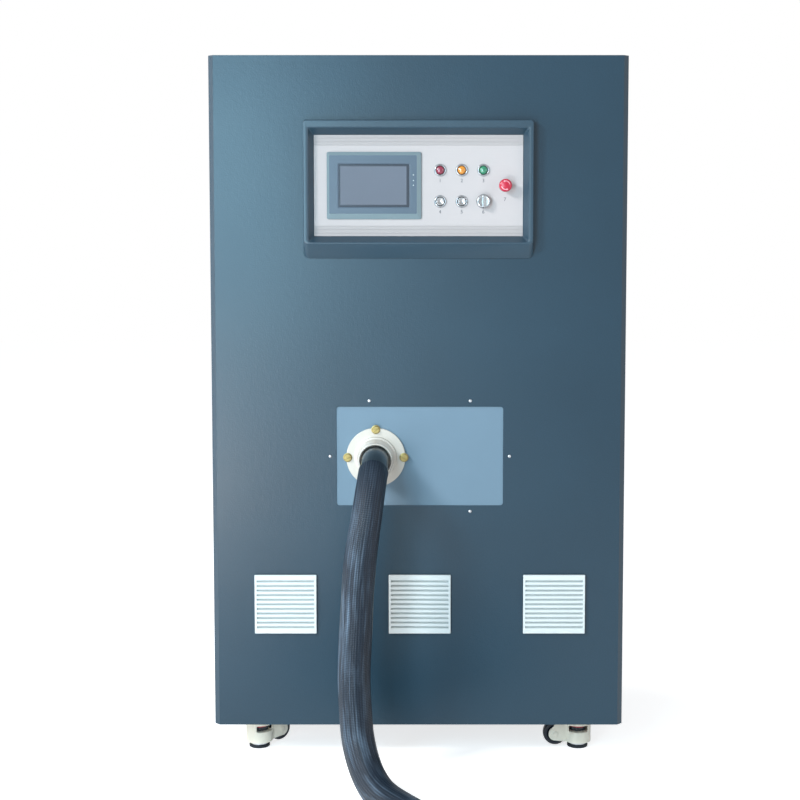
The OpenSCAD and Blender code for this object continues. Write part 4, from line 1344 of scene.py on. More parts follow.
@dataclass
class Cable:
    """The output cable: a rubber tube that leaves the flange and the braided sleeve over the rest."""

    route: tuple[Point, ...] = (
        (-0.101, -0.402, 0.734), (-0.101, -0.430, 0.734), (-0.102, -0.463, 0.725),
        (-0.105, -0.502, 0.704), (-0.110, -0.534, 0.671), (-0.116, -0.555, 0.629),
        (-0.123, -0.562, 0.584), (-0.130, -0.563, 0.530), (-0.135, -0.562, 0.470),
        (-0.139, -0.561, 0.400), (-0.143, -0.560, 0.330), (-0.145, -0.559, 0.260),
        (-0.142, -0.562, 0.190), (-0.136, -0.572, 0.131), (-0.121, -0.601, 0.081),
        (-0.098, -0.644, 0.048), (-0.072, -0.695, 0.037), (-0.037, -0.756, 0.037),
        (0.003, -0.813, 0.037), (0.0479, -0.8673, 0.037), (0.100, -0.911, 0.037),
    )
    coil_from: float = 50.0
    coil_radius: float = 0.400
    coil_turns: float = 1.45
    coil_pitch: float = 0.079
    draw_turn: float = 0.95
    draw: float = 0.440
    coil_rings: int = 35
    lead: float = 0.072
    sleeve_from: float = 0.074
    lip: float = 0.004
    tube_radius: float = 0.0315
    wall: float = 0.0027
    slack: float = 0.0030
    slack_from: float = 0.12
    slack_over: float = 0.32
    lies_from: float = 0.86
    lies_over: float = 0.14
    spread: float = 0.0035
    spread_to: float = 1.55
    spread_over: float = 0.3
    wider: float = 0.0006
    flatter: float = 0.0004
    above_floor: float = 0.0003
    snug: float = 0.94
    snug_until: float = 0.03
    sags: tuple[Point, ...] = ((0.0016, 1.6, 8.0), (0.0012, 4.2, 5.0))
    sides: int = 56
    step: float = 0.010
    smooth_steps: int = 16
    plug_ribs: int = 6
    lug_at: float = 0.137
    lug_side: float = 0.022
    lug_half: float = 0.0149
    lug_thick: float = 0.006
    lug_bore: float = 0.00525

    def wound(self) -> tuple[list[Vector], Vector]:
        """Winds the coil.

        Returns:
            Its points, with a straight lead at its end, and the direction there.
        """
        a = math.radians(self.coil_from)
        start = Vector(self.route[-1])
        middle = start + self.lead * Vector((math.sin(a), -math.cos(a), 0))
        middle -= self.coil_radius * Vector((math.cos(a), math.sin(a), 0))
        found = []
        for i in range(self.coil_rings + 1):
            n = self.coil_turns * i / self.coil_rings
            r = self.coil_radius - self.coil_pitch * n - self.draw * max(0.0, n - self.draw_turn) ** 2
            b = a - 2 * math.pi * n
            found.append(middle + r * Vector((math.cos(b), math.sin(b), 0)))
        ahead = (found[-1] - found[-2]).normalized()
        return found + [found[-1] + self.lead * ahead], ahead

    def line(self) -> list[Vector]:
        """Draws the smooth line that the cable follows.

        Returns:
            Its points, close together.
        """
        knots = [Vector(p) for p in self.route] + self.wound()[0]
        fine = [knots[0].copy()]
        for i in range(len(knots) - 1):
            p0, p1 = knots[max(i - 1, 0)], knots[i]
            p2, p3 = knots[i + 1], knots[min(i + 2, len(knots) - 1)]
            for k in range(1, self.smooth_steps + 1):
                t = k / self.smooth_steps
                fine.append(0.5 * (
                    2 * p1 + (p2 - p0) * t + (2 * p0 - 5 * p1 + 4 * p2 - p3) * t * t
                    + (3 * p1 - 3 * p2 + p3 - p0) * t ** 3
                ))
        return fine

    def sampled(self, spots: Sequence[float], fine: Sequence[Vector]) -> list[Vector]:
        """Finds places along a line.

        Args:
            spots: Distances along it.
            fine: The line's own points.

        Returns:
            The point at each distance.
        """
        found, run, i = [], 0.0, 0
        for spot in spots:
            while i < len(fine) - 2 and run + (fine[i + 1] - fine[i]).length < spot:
                run += (fine[i + 1] - fine[i]).length
                i += 1
            span = (fine[i + 1] - fine[i]).length
            found.append(fine[i].lerp(fine[i + 1], min(1.0, (spot - run) / span)))
        return found

    def radii(self, s: float, total: float) -> tuple[float, float]:
        """Returns the half width and half height of the tube or the sleeve.

        Args:
            s: Distance along the cable.
            total: Length of the cable.

        Returns:
            Its half width and half height.
        """
        if s < self.sleeve_from:
            return self.tube_radius, self.tube_radius
        lip = share(s - self.sleeve_from, self.lip)
        base = self.tube_radius + self.wall * math.sqrt(lip)
        base += self.slack * share(s - self.slack_from, self.slack_over)
        lies = share(s - self.lies_from, self.lies_over)
        spread = self.spread * lies * share(self.spread_to - s, self.spread_over)
        snug = self.snug + (1 - self.snug) * share(total - s, self.snug_until)
        return (base + spread + self.wider * lies) * snug, (base - self.flatter * lies) * snug

    def stations(self, total: float) -> list[float]:
        """Returns the distances along the cable at which it has a ring of points.

        Args:
            total: Length of the cable.

        Returns:
            The distances, closer together at the sleeve's lip.
        """
        spots = [0.0, 0.004]
        while spots[-1] + self.step < self.sleeve_from - 0.002:
            spots.append(spots[-1] + self.step)
        spots += [self.sleeve_from + d for d in (-0.0005, 0.0, 0.0006, 0.0018, self.lip, 2 * self.lip)]
        start = spots[-1]
        count = int((total - start) / self.step)
        return spots + [start + (total - start) * k / count for k in range(1, count + 1)]

    def ring(self, centre: Vector, axes: tuple[Vector, Vector], s: float, total: float) -> list[Vector]:
        """Returns the ring of points round one place of the cable.

        Args:
            centre: Its middle.
            axes: Two directions across the cable.
            s: Distance along the cable.
            total: Length of the cable.

        Returns:
            The points, kept above the floor.
        """
        wide, high = self.radii(s, total)
        found = []
        for k in range(self.sides):
            a = 2 * math.pi * k / self.sides
            out = math.cos(a) * axes[0] + math.sin(a) * axes[1]
            up = abs(out.z)
            r = wide * high / math.hypot(high * math.sqrt(max(0.0, 1 - up * up)), wide * up)
            if s > self.sleeve_from + 0.01:
                for depth, around, along in self.sags:
                    r += depth * noise.noise(Vector((math.cos(a) * around, math.sin(a) * around, s * along)))
            spot = centre + r * out
            spot.z = max(spot.z, self.above_floor)
            found.append(spot)
        return found

    def build(self, machine: Machine) -> None:
        """Args:
            machine: The machine.
        """
        fine = self.line()
        total = sum((b - a).length for a, b in zip(fine, fine[1:]))
        spots = self.stations(total)
        centres = self.sampled(spots, fine)
        loops = []
        ahead, side = Vector((0, -1, 0)), Vector((1, 0, 0))
        for i, (s, centre) in enumerate(zip(spots, centres)):
            now = (centres[min(i + 1, len(centres) - 1)] - centres[max(i - 1, 0)]).normalized()
            side = ahead.rotation_difference(now) @ side
            side = (side - now * side.dot(now)).normalized()
            ahead = now
            loops.append(self.ring(centre, (side, now.cross(side)), s, total))
        marks = [0 if s + 1e-6 < self.sleeve_from else 1 for s in spots[:-1]]
        mesh = Form().layers(loops, marks=marks).mesh("output_cable_sleeve")
        self.map_along(mesh, spots)
        cable = softened(shown("output_cable_sleeve", mesh, (Slot.RUBBER, Slot.SLEEVE)), 0.0)
        machine.settle(cable, "cabinet", ("output_cable", "cable_coil"))
        plug = self.connector(machine)
        log.info("cable of %.3f m", total)

    def map_along(self, mesh: bpy.types.Mesh, spots: Sequence[float]) -> None:
        """Gives the cable a UV map in metres: round it and along it.

        Args:
            mesh: The cable's mesh.
            spots: Distance of each ring along the cable.
        """
        layer = mesh.uv_layers.new(name="Along")
        column_width = 2 * math.pi * SLEEVE_RADIUS / self.sides
        for face in mesh.polygons:
            columns = [v % self.sides for v in face.vertices]
            wraps = max(columns) - min(columns) > self.sides / 2
            for loop, vertex, column in zip(face.loop_indices, face.vertices, columns):
                around = column + (self.sides if wraps and column < self.sides / 2 else 0)
                layer.data[loop].uv = (around * column_width, spots[min(vertex // self.sides, len(spots) - 1)])

    def connector(self, machine: Machine) -> bpy.types.Object:
        """Builds the connector on the far end: a ribbed block with two brass lugs.

        Args:
            machine: The machine.

        Returns:
            The connector.
        """
        points, ahead = self.wound()
        place = Matrix.Translation(points[-1]) @ Matrix.Rotation(math.atan2(ahead.y, ahead.x), 4, "Z")
        # Distance from the cable's end, half width, half height and corner radius of each section.
        rows = [(0.0, 0.037, 0.030, 0.012), (0.004, 0.0405, 0.0325, 0.012)]
        for k in range(self.plug_ribs):
            x = 0.012 + 0.009 * k
            rows += [(x, 0.042, 0.033, 0.010), (x + 0.005, 0.042, 0.033, 0.010),
                     (x + 0.006, 0.0405, 0.0318, 0.010), (x + 0.0085, 0.0405, 0.0318, 0.010)]
        rows += [(0.070, 0.042, 0.033, 0.009), (0.086, 0.042, 0.033, 0.008), (0.090, 0.039, 0.030, 0.007)]
        form = Form().layers([
            [place @ Vector((x, p[0], p[2])) for p in centred(0.0, 0.0, w, h, 0.0, r)] for x, w, h, r in rows
        ])
        half, thick = self.lug_half, self.lug_thick / 2
        bore = arc(self.lug_bore, 0, 360, 24)[:-1]
        rim = [(x * half / max(abs(x), abs(y)), y * half / max(abs(x), abs(y))) for x, y in bore]
        for y in (-self.lug_side, self.lug_side):
            form.layers([
                [place @ Vector((self.lug_at + a, y + b, z)) for a, b in edge]
                for z, edge in ((-thick, rim), (thick, rim), (thick, bore), (-thick, bore))
            ], closed=True, mark=1)
            form.block((0.086, y - half, -thick), (0.1221, y + half, thick), 1, place)
        return machine.make("cable_connector_block", form, (Slot.BLACK, Slot.BRASS), "cable_connector", width=0.0008)


@dataclass
class Console:
    """The raised operator console: frame, face, touchscreen and operators."""

    front: float = SHEET_FRONT
    reach: float = 0.028
    face_front: float = -0.344
    middle: float = CONSOLE_MIDDLE
    screen_x: float = -0.1035
    screen_half: tuple[float, float] = (0.1105, 0.078)
    screen_reach: float = 0.009
    glass_half: tuple[float, float] = (0.0818, 0.0493)
    body_half: tuple[float, float] = (0.098, 0.067)
    body_back: float = -0.302
    dots_x: float = -0.0118
    dots_z: tuple[float, ...] = (1.398, 1.385, 1.374)
    first_x: float = 0.0505
    pitch: float = 0.0505
    lamp_z: float = 1.40945
    button_z: float = 1.33695
    emergency_x: float = 0.202
    barrel_end: float = -0.022
    button_bore: float = 0.0096
    stem_bore: float = 0.0053
    arrow_r: float = 0.0098
    arrow_sweep: float = 118.0
    arrow_steps: int = 14
    arrow_head: int = 3
    number_size: float = 0.0115
    number_drops: tuple[float, float] = (0.0245, 0.032)

    def build(self, machine: Machine) -> None:
        """Builds every piece of the console.

        Args:
            machine: The machine.
        """
        self.bezel(machine)
        machine.dress("control_faceplate", (Slot.FACE,), 0.0004, "anodised_face")
        self.touchscreen(machine)
        self.rings(machine)
        self.lamps(machine)
        self.buttons(machine)
        self.knob(machine)
        self.mushroom(machine)
        machine.dress("contact_blocks", (Slot.BLACK,), 0.0012)
        self.numbers(machine)

    def numbers(self, machine: Machine) -> None:
        """Prints a plain number under each operator.

        Args:
            machine: The machine.
        """
        spots = [self.spot(column, row) for row in (0, 1) for column in range(3)]
        places = [(spot, self.number_drops[0]) for spot in spots]
        places.append(((self.emergency_x, self.middle), self.number_drops[1]))
        parts = []
        for number, ((x, z), drop) in enumerate(places, 1):
            text = bpy.data.curves.new("number", "FONT")
            text.body, text.size, text.extrude = str(number), self.number_size, 0.0001
            text.align_x, text.align_y = "CENTER", "CENTER"
            made = in_scene("number", text)
            mesh = plain_mesh(made)
            mesh.transform(facing_front(x, self.face_front - 0.0001, z - drop))
            bpy.data.objects.remove(made)
            parts.append(shown("number", mesh, (PRINT,)))
        machine.settle(joined("operator_numbers", parts), "cabinet")

    def bezel(self, machine: Machine) -> None:
        """Builds the console's frame with its rounded rim, steep top and chin.

        Args:
            machine: The machine.
        """
        y0, y1 = self.front, self.front - self.reach
        # Half width, lower edge, upper edge and depth, then the radii of the lower and the upper corners.
        rows = (
            (0.2690, 1.2040, 1.5260, y0, 0.014, 0.007),
            (0.2690, 1.2040, 1.5260, y0 - 0.003, 0.014, 0.007),
            (0.2683, 1.2165, 1.5250, y0 - 0.0135, 0.013, 0.007),
            (0.2675, 1.2330, 1.5243, y1 + 0.0030, 0.011, 0.006),
            (0.2663, 1.2385, 1.5230, y1, 0.010, 0.006),
            (0.2625, 1.2405, 1.5190, y1 - 0.0004, 0.009, 0.005),
            (0.2585, 1.2415, 1.5085, y1, 0.008, 0.005),
            (0.2555, 1.2430, 1.5055, y1 + 0.0020, 0.007, 0.004),
            (0.2450, 1.2550, 1.4920, self.face_front - 0.0006, 0.003, 0.003),
            (0.2443, 1.2557, 1.4913, self.face_front + 0.0006, 0.003, 0.003),
            (0.2443, 1.2557, 1.4913, y0, 0.003, 0.003),
        )
        loops = [
            outline(-half, half, low, high, y, (lower, lower, upper, upper))
            for half, low, high, y, lower, upper in rows
        ]
        form = Form().layers(loops, closed=True)
        # The frame wears the lighter console paint, a painted sheen.
        machine.make(
            "console_frame", form, (CONSOLE_SHEEN_PAINT, Slot.CABINET), "control_bezel", width=0.0011, segments=3, limit=16.0
        )

    def touchscreen(self, machine: Machine) -> None:
        """Builds the touchscreen's housing, its glass and three small indicator dots.

        Args:
            machine: The machine.
        """
        mid, middle = self.screen_x, self.middle
        w, h = self.screen_half
        gx, gz = self.glass_half
        bw, bh = self.body_half
        front = self.face_front - self.screen_reach
        x0, x1, z0, z1 = mid - w, mid + w, middle - h, middle + h
        loops = [
            outline(x0, x1, z0, z1, self.face_front, (0.004,) * 4),
            outline(x0, x1, z0, z1, front + 0.0062, (0.004,) * 4),
            centred(mid, middle, w - 0.0004, h - 0.0004, front + 0.0055, 0.004),
            outline(x0 + 0.006, x1 - 0.011, z0 + 0.0125, z1 - 0.008, front, (0.002,) * 4),
            centred(mid, middle, gx + 0.003, gz + 0.003, front, 0.0022),
            centred(mid, middle, gx, gz, front + 0.0014, 0.0012),
            centred(mid, middle, gx, gz, front + 0.0036, 0.0012),
        ]
        # Marks 1 on the outer bevels take the lighter housing plastic, a painted highlight.
        form = Form().layers(loops, marks=(0, 1, 1, 0, 0, 2))
        form.block(
            (mid - bw, self.face_front + 0.0002, middle - bh), (mid + bw, self.body_back, middle + bh), 2
        )
        machine.make(
            "touchscreen_case", form, (Slot.SCREEN, SCREEN_EDGE_HIGHLIGHT, Slot.BLACK), "touchscreen_housing",
            width=0.0007, limit=14.0,
        )
        machine.dress("touchscreen_glass", (Slot.GLASS,), 0.0003, "screen_window")
        profile = [(0, 0), (0.0011, 0), (0.0012, 0.0004), (0.0008, 0.0009), (0, 0.0010)]
        dot = Form().turned(profile, Matrix.Identity(4), steps=16).mesh("screen_dot")
        dot.shade_smooth()
        spots = [facing_front(self.dots_x, front + 0.0002, z) for z in self.dots_z]
        dots = Repeats.on_points("screen_dots", dot, spots, Slot.WHITE)
        machine.settle(dots, "cabinet")

    def spot(self, column: int, row: int) -> tuple[float, float]:
        """Returns the place of an operator: row 0 is the lamps, row 1 the buttons."""
        return self.first_x + column * self.pitch, (self.lamp_z, self.button_z)[row]

    def rings(self, machine: Machine) -> None:
        """Builds the chrome rings and the barrels behind the face.

        Args:
            machine: The machine.
        """
        form = Form()
        wide, narrow, end = self.button_bore, self.stem_bore, self.barrel_end
        bores = [(self.spot(column, 0), wide) for column in range(3)]
        bores += [(self.spot(column, 1), bore) for column, bore in enumerate((wide, wide, narrow))]
        bores.append(((self.emergency_x, self.middle), narrow))
        for (x, z), bore in bores:
            lip = 0.0112 if bore > narrow else 0.0095
            profile = [
                (bore, end), (0.0109, end), (0.0109, 0.0), (0.0145, 0.0), (0.0145, 0.0016),
                (0.0141, 0.0030), (0.0131, 0.0041), (0.0120, 0.0045), (lip, 0.0042), (lip - 0.0006, 0.0034),
                (bore + 0.0003, 0.0030), (bore, 0.0026),
            ]
            form.turned(
                profile, facing_front(x, self.face_front, z), closed=True,
                marks=(1, 1, 0, 0, 0, 0, 0, 0, 0, 1, 1, 1), steps=56,
            )
        machine.make("operator_rings", form, (Slot.RING, Slot.BLACK), "operator_bezels")

    def lamps(self, machine: Machine) -> None:
        """Builds the three lamp lenses with their domes.

        Args:
            machine: The machine.
        """
        kinds = (("red_lamp", Slot.RED_LENS), ("amber_lamp", Slot.AMBER_LENS), ("green_lamp", Slot.GREEN_LENS))
        for column, (name, slot) in enumerate(kinds):
            x, z = self.spot(column, 0)
            profile = [
                (0, self.barrel_end), (0.0092, self.barrel_end), (0.0092, 0.0036), (0.0090, 0.0044),
                (0.0080, 0.0053), (0.0068, 0.0060), (0.0054, 0.0066), (0.0038, 0.0071), (0.0020, 0.0074),
                (0, 0.0075),
            ]
            form = Form().turned(profile, facing_front(x, self.face_front, z), steps=48)
            machine.make(name, form, (slot,), name + "_lens")

    def buttons(self, machine: Machine) -> None:
        """Builds the stop and start buttons: turned metal caps with a shallow hollow.

        Args:
            machine: The machine.
        """
        for column, node in enumerate(("stop_button", "start_button")):
            x, z = self.spot(column, 1)
            profile = [
                (0, -0.0187), (0.0049, -0.0187), (0.0049, -0.0024), (0.0092, -0.0024), (0.0092, 0.0050),
                (0.0090, 0.0057), (0.0084, 0.0060), (0.0078, 0.0058), (0.0050, 0.0046), (0.0046, 0.0044),
                (0.0018, 0.0036), (0, 0.0035),
            ]
            form = Form().turned(profile, facing_front(x, self.face_front, z), steps=56)
            machine.make(node + "_cap", form, (Slot.BUTTON,), node)

    def knob(self, machine: Machine) -> None:
        """Builds the power knob: a bright skirt, a domed top and a grip across it.

        Args:
            machine: The machine.
        """
        x, z = self.spot(2, 1)
        place = facing_front(x, self.face_front, z)
        profile = [
            (0, -0.0217), (0.0049, -0.0217), (0.0049, 0.0048), (0.0158, 0.0048), (0.0165, 0.0056),
            (0.0165, 0.0120), (0.0160, 0.0146), (0.0149, 0.0161), (0.0134, 0.0168), (0.0118, 0.0166),
            (0.0110, 0.0160), (0, 0.0158),
        ]
        form = Form().turned(profile, place, marks=(0, 0, 0, 0, 0, 0, 0, 0, 0, 1, 1), steps=64)
        # Height over the face, half width and half length of the grip's sections.
        grip = (
            (0.0150, 0.0037, 0.0150), (0.0205, 0.0034, 0.0146), (0.0230, 0.0030, 0.0138), (0.0238, 0.0018, 0.0122),
        )
        form.layers([
            [place @ Vector((p[0], p[2], level)) for p in centred(0.0, 0.0, wide, long, 0.0, wide * 0.9, 5)]
            for level, wide, long in grip
        ])
        machine.make("power_knob_body", form, (Slot.RING, Slot.BUTTON), "power_knob")

    def mushroom(self, machine: Machine) -> None:
        """Builds the emergency button: a red mushroom with two curved arrows.

        Args:
            machine: The machine.
        """
        place = facing_front(self.emergency_x, self.face_front, self.middle)
        shaft = self.face_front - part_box("emergency_button")[1][1]
        profile = [
            (0, shaft), (0.0049, shaft), (0.0049, 0.0100), (0.0089, 0.0100), (0.0089, 0.0176),
            (0.0138, 0.0176), (0.0149, 0.0184), (0.0150, 0.0215), (0.0149, 0.0262), (0.0143, 0.0274),
            (0.0128, 0.0287), (0.0100, 0.0300), (0.0066, 0.0309), (0.0030, 0.0314), (0, 0.0315),
        ]
        form = Form().turned(profile, place, steps=64)
        for half in (0, 1):
            form.layers([[place @ Vector(p) for p in section] for section in self.arrow(180 * half + 12)], mark=1)
        machine.make("emergency_head", form, (Slot.RED, ARROWS), "emergency_button")

    def arrow(self, start: float) -> list[list[Point]]:
        """Returns the sections of one curved arrow that lies on the mushroom's dome.

        Args:
            start: Where it begins, in degrees.

        Returns:
            Its sections, from its tail to just before its point.
        """
        radius, sweep, steps, head = self.arrow_r, self.arrow_sweep, self.arrow_steps, self.arrow_head
        sections = []
        for k in range(steps):
            a = math.radians(start + sweep * k / steps)
            thick = 0.0010 if k < steps - head else 0.0024 * (steps - k) / head
            spots = []
            for r in (radius + thick, radius - thick):
                lift = 0.0322 - 0.0032 * (r / 0.0128) ** 2 * 0.95
                spots.append((r * math.cos(a), r * math.sin(a), lift))
            (ox, oy, oz), (ix, iy, iz) = spots
            sections.append([
                (ox, oy, oz - 0.0010), (ox, oy, oz + 0.00025), (ix, iy, iz + 0.00025), (ix, iy, iz - 0.0010)
            ])
        return sections


@dataclass
class Outlet:
    """The cable outlet: insulating board, white flange, its screws and the tube in it."""

    x: float = 0.003
    z: float = 0.736
    flange_x: float = -0.101
    flange_z: float = 0.734
    seat_y: float = -0.338
    flange_thick: float = 0.008
    bolt_r: float = 0.0665
    turns: tuple[float, ...] = (24.0, -38.0, 62.0, 8.0)
    cheek_r: float = 0.0086
    slot_degrees: float = 9.5
    sharp: float = 40.0
    window_screws: tuple[tuple[float, float], ...] = (
        (-0.1195, 0.132), (0.1195, 0.132), (-0.2125, 0.0), (0.2125, 0.0), (-0.1195, -0.132), (0.1195, -0.132),
    )

    def build(self, machine: Machine) -> None:
        """Builds every piece of the outlet.

        Args:
            machine: The machine.
        """
        machine.dress("outlet_board", (Slot.BOARD,), 0.0006, "insulating_board")
        self.flange(machine)
        self.flange_screws(machine)
        self.board_screws(machine)
        self.tube(machine)

    def flange(self, machine: Machine) -> None:
        """Builds the turned flange with its boss, tapering neck and mouth.

        Args:
            machine: The machine.
        """
        place = facing_front(self.flange_x, self.seat_y, self.flange_z)
        profile = [
            (0.0318, 0.0), (0.0700, 0.0), (0.0700, 0.0066), (0.0696, 0.0076), (0.0686, 0.0080),
            (0.0512, 0.0080), (0.0496, 0.0086), (0.0490, 0.0100), (0.0490, 0.0152), (0.0486, 0.0164),
            (0.0476, 0.0170), (0.0462, 0.0171), (0.0448, 0.0176), (0.0441, 0.0190), (0.0424, 0.0380),
            (0.0403, 0.0600), (0.0398, 0.0613), (0.0388, 0.0619), (0.0374, 0.0617), (0.0364, 0.0609),
            (0.0360, 0.0598), (0.0360, 0.0322), (0.0318, 0.0320),
        ]
        form = Form().turned(profile, place, closed=True, steps=96)
        machine.make("flange_body", form, (Slot.ENAMEL,), "outlet_flange")

    def flange_screws(self, machine: Machine) -> None:
        """Builds the four slotted brass screws with their washers and nuts.

        Args:
            machine: The machine.
        """
        here = Matrix.Identity(4)
        washer = [
            (0.0042, 0.0), (0.0106, 0.0), (0.0108, 0.0004), (0.0106, 0.0015), (0.0100, 0.0017), (0.0042, 0.0017),
        ]
        head = [
            (0, -0.0190), (0.0040, -0.0190), (0.0040, 0.0016), (0.0094, 0.0016), (0.0095, 0.0024),
            (0.0095, 0.0040), (0.0092, 0.0044), (0.0086, 0.0046), (0, 0.0046),
        ]
        nut = [
            (0, -0.0242), (0.0093, -0.0242), (0.0095, -0.0236), (0.0095, -0.0192), (0.0093, -0.0186), (0, -0.0186),
        ]
        form = Form().turned(washer, here, closed=True, steps=32).turned(head, here, steps=32)
        rim = arc(self.cheek_r, self.slot_degrees, 180 - 2 * self.slot_degrees, 14)
        for side in (-1, 1):
            form.layers([
                [(x, side * y, 0.0042) for x, y in rim], [(x, side * y, 0.0069) for x, y in rim],
                [(x * 0.93, side * (y * 0.93 + 0.0002), 0.0076) for x, y in rim],
            ])
        form.turned(nut, here, steps=6)
        mesh = creased(form.mesh("flange_screw"), self.sharp)
        places = []
        for (x, z), turn in zip(arc(self.bolt_r, 90, -360, 4), self.turns):
            places.append(facing_front(
                self.flange_x + x, self.seat_y - self.flange_thick, self.flange_z + z, math.radians(turn)
            ))
        made = Repeats.on_points("flange_bolts", mesh, places, Slot.BRASS)
        machine.settle(made, "cabinet", ("flange_screws",))

    def board_screws(self, machine: Machine) -> None:
        """Builds the six small screws round the window, with their nuts.

        Args:
            machine: The machine.
        """
        here = Matrix.Identity(4)
        head = [
            (0, -0.0092), (0.0020, -0.0092), (0.0020, 0.0), (0.0037, 0.0), (0.0038, 0.0005), (0.0036, 0.0013),
            (0.0029, 0.0020), (0.0018, 0.0024), (0.0009, 0.0024), (0.0006, 0.0012), (0, 0.0012),
        ]
        nut = [(0, -0.0094), (0.0037, -0.0094), (0.0037, -0.0071), (0, -0.0071)]
        mesh = creased(Form().turned(head, here, steps=24).turned(nut, here, steps=6).mesh("board_screw"), self.sharp)
        places = [
            facing_front(self.x + dx, SHEET_FRONT, self.z + dz, 0.4 * k)
            for k, (dx, dz) in enumerate(self.window_screws)
        ]
        made = Repeats.on_points("window_screws", mesh, places, Slot.ZINC)
        machine.settle(made, "cabinet", ("board_screws",))

    def tube(self, machine: Machine) -> None:
        """Builds the rubber tube that lines the flange.

        Args:
            machine: The machine.
        """
        place = facing_front(self.flange_x, 0.0, self.flange_z)
        profile = [
            (0, 0.333), (0.0265, 0.333), (0.0265, 0.2782), (0.0270, 0.2780), (0.0312, 0.2780),
            (0.0315, 0.2785), (0.0315, 0.4015), (0.0312, 0.4019), (0, 0.4019),
        ]
        machine.make("outlet_tube", Form().turned(profile, place, steps=64), (Slot.RUBBER,), "cable_tube")


@dataclass
class Grilles:
    """The three white intake grilles under the outlet."""

    middles: tuple[float, ...] = (-0.3168, 0.003, 0.3233)
    z: float = 0.381
    width: float = 0.1475
    height: float = 0.1420
    front: float = -0.349
    count: int = 12
    pitch: float = 0.0111
    half: float = 0.0685
    half_height: float = 0.0622
    duct: float = 0.0619
    mouth: tuple[float, float] = (0.0597, 0.0616)
    sharp: float = 42.0

    def build(self, machine: Machine) -> None:
        """Builds the frames, the slats and the filter mats behind them.

        Args:
            machine: The machine.
        """
        frame, places = Form(), []
        w, h, front = self.width / 2, self.height / 2, self.front
        back, end = SHEET_FRONT - 0.0002, SHEET_FRONT + 0.0138
        (a, b), gap = self.mouth, 0.0001
        # Half width, half height, depth and corner radius, from the back over the front and down the duct.
        rows = (
            (w - 0.0022, h - 0.0022, back, 0.001), (w - 0.0022, h - 0.0022, front + 0.0052, 0.001),
            (w, h, front + 0.0050, 0.0018), (w, h, front + 0.0010, 0.0018), (w - 0.0009, h - 0.0009, front, 0.0014),
            (self.half, self.half_height, front, 0.0006), (self.half, self.half_height, front + 0.0064, 0.0006),
            (a, b, front + 0.0066, 0.0006), (a, b, end, 0.001),
            (self.duct, self.duct, end, 0.001), (self.duct, self.duct, back, 0.001),
        )
        for x in self.middles:
            frame.layers([centred(x, self.z, wide, high, y, r) for wide, high, y, r in rows], closed=True)
            frame.block(
                (x - a + gap, -0.3300, self.z - b + gap), (x + a - gap, -0.3270, self.z + b - gap), 1
            )
            for k in range(self.count):
                places.append(Matrix.Translation((x, front, self.z + self.pitch * (k - (self.count - 1) / 2))))
        # The blades' plastic is greyer behind their front faces: painted shade in the grooves.
        blades = Repeats.on_points("grille_blades", self.blade(), places, Slot.WHITE)
        made = softened(shown("grille_frames", frame.mesh("grille_frames"), (Slot.WHITE, SLAT_GAP)), 0.0)
        made = joined("grille_faces", [made, blades])
        machine.settle(made, "cabinet", ("intake_grilles",))

    def blade(self) -> bpy.types.Mesh:
        """Makes one slat: a flat front band with a blade that slopes up behind the next one.

        Returns:
            Its mesh.
        """
        section = [
            (0.0012, -0.0032), (0.0003, -0.0027), (0.0001, 0.0), (0.0003, 0.0025), (0.0009, 0.0029),
            (0.0060, 0.0050), (0.0064, 0.0086), (0.0070, 0.0086), (0.0070, 0.0048), (0.0030, 0.0022),
            (0.0024, -0.0032),
        ]
        ends = [[(side * (self.half - 0.0001), y, z) for y, z in section] for side in (-1, 1)]
        return creased(Form().layers(ends).mesh("grille_blade"), self.sharp)


def joined(name: str, parts: Sequence[bpy.types.Object]) -> bpy.types.Object:
    """Joins objects and keeps their materials.

    Args:
        name: Name of the new object.
        parts: The objects, which are removed.

    Returns:
        The new object.
    """
    work = bmesh.new()
    materials: list[bpy.types.Material] = []
    for part in parts:
        numbers = []
        for material in part.data.materials:
            if material not in materials:
                materials.append(material)
            numbers.append(materials.index(material))
        for face in part.data.polygons:
            face.material_index = numbers[face.material_index]
        work.from_mesh(part.data)
        bpy.data.objects.remove(part)
    mesh = bpy.data.meshes.new(name)
    work.to_mesh(mesh)
    work.free()
    for material in materials:
        mesh.materials.append(material)
    return in_scene(name, mesh)


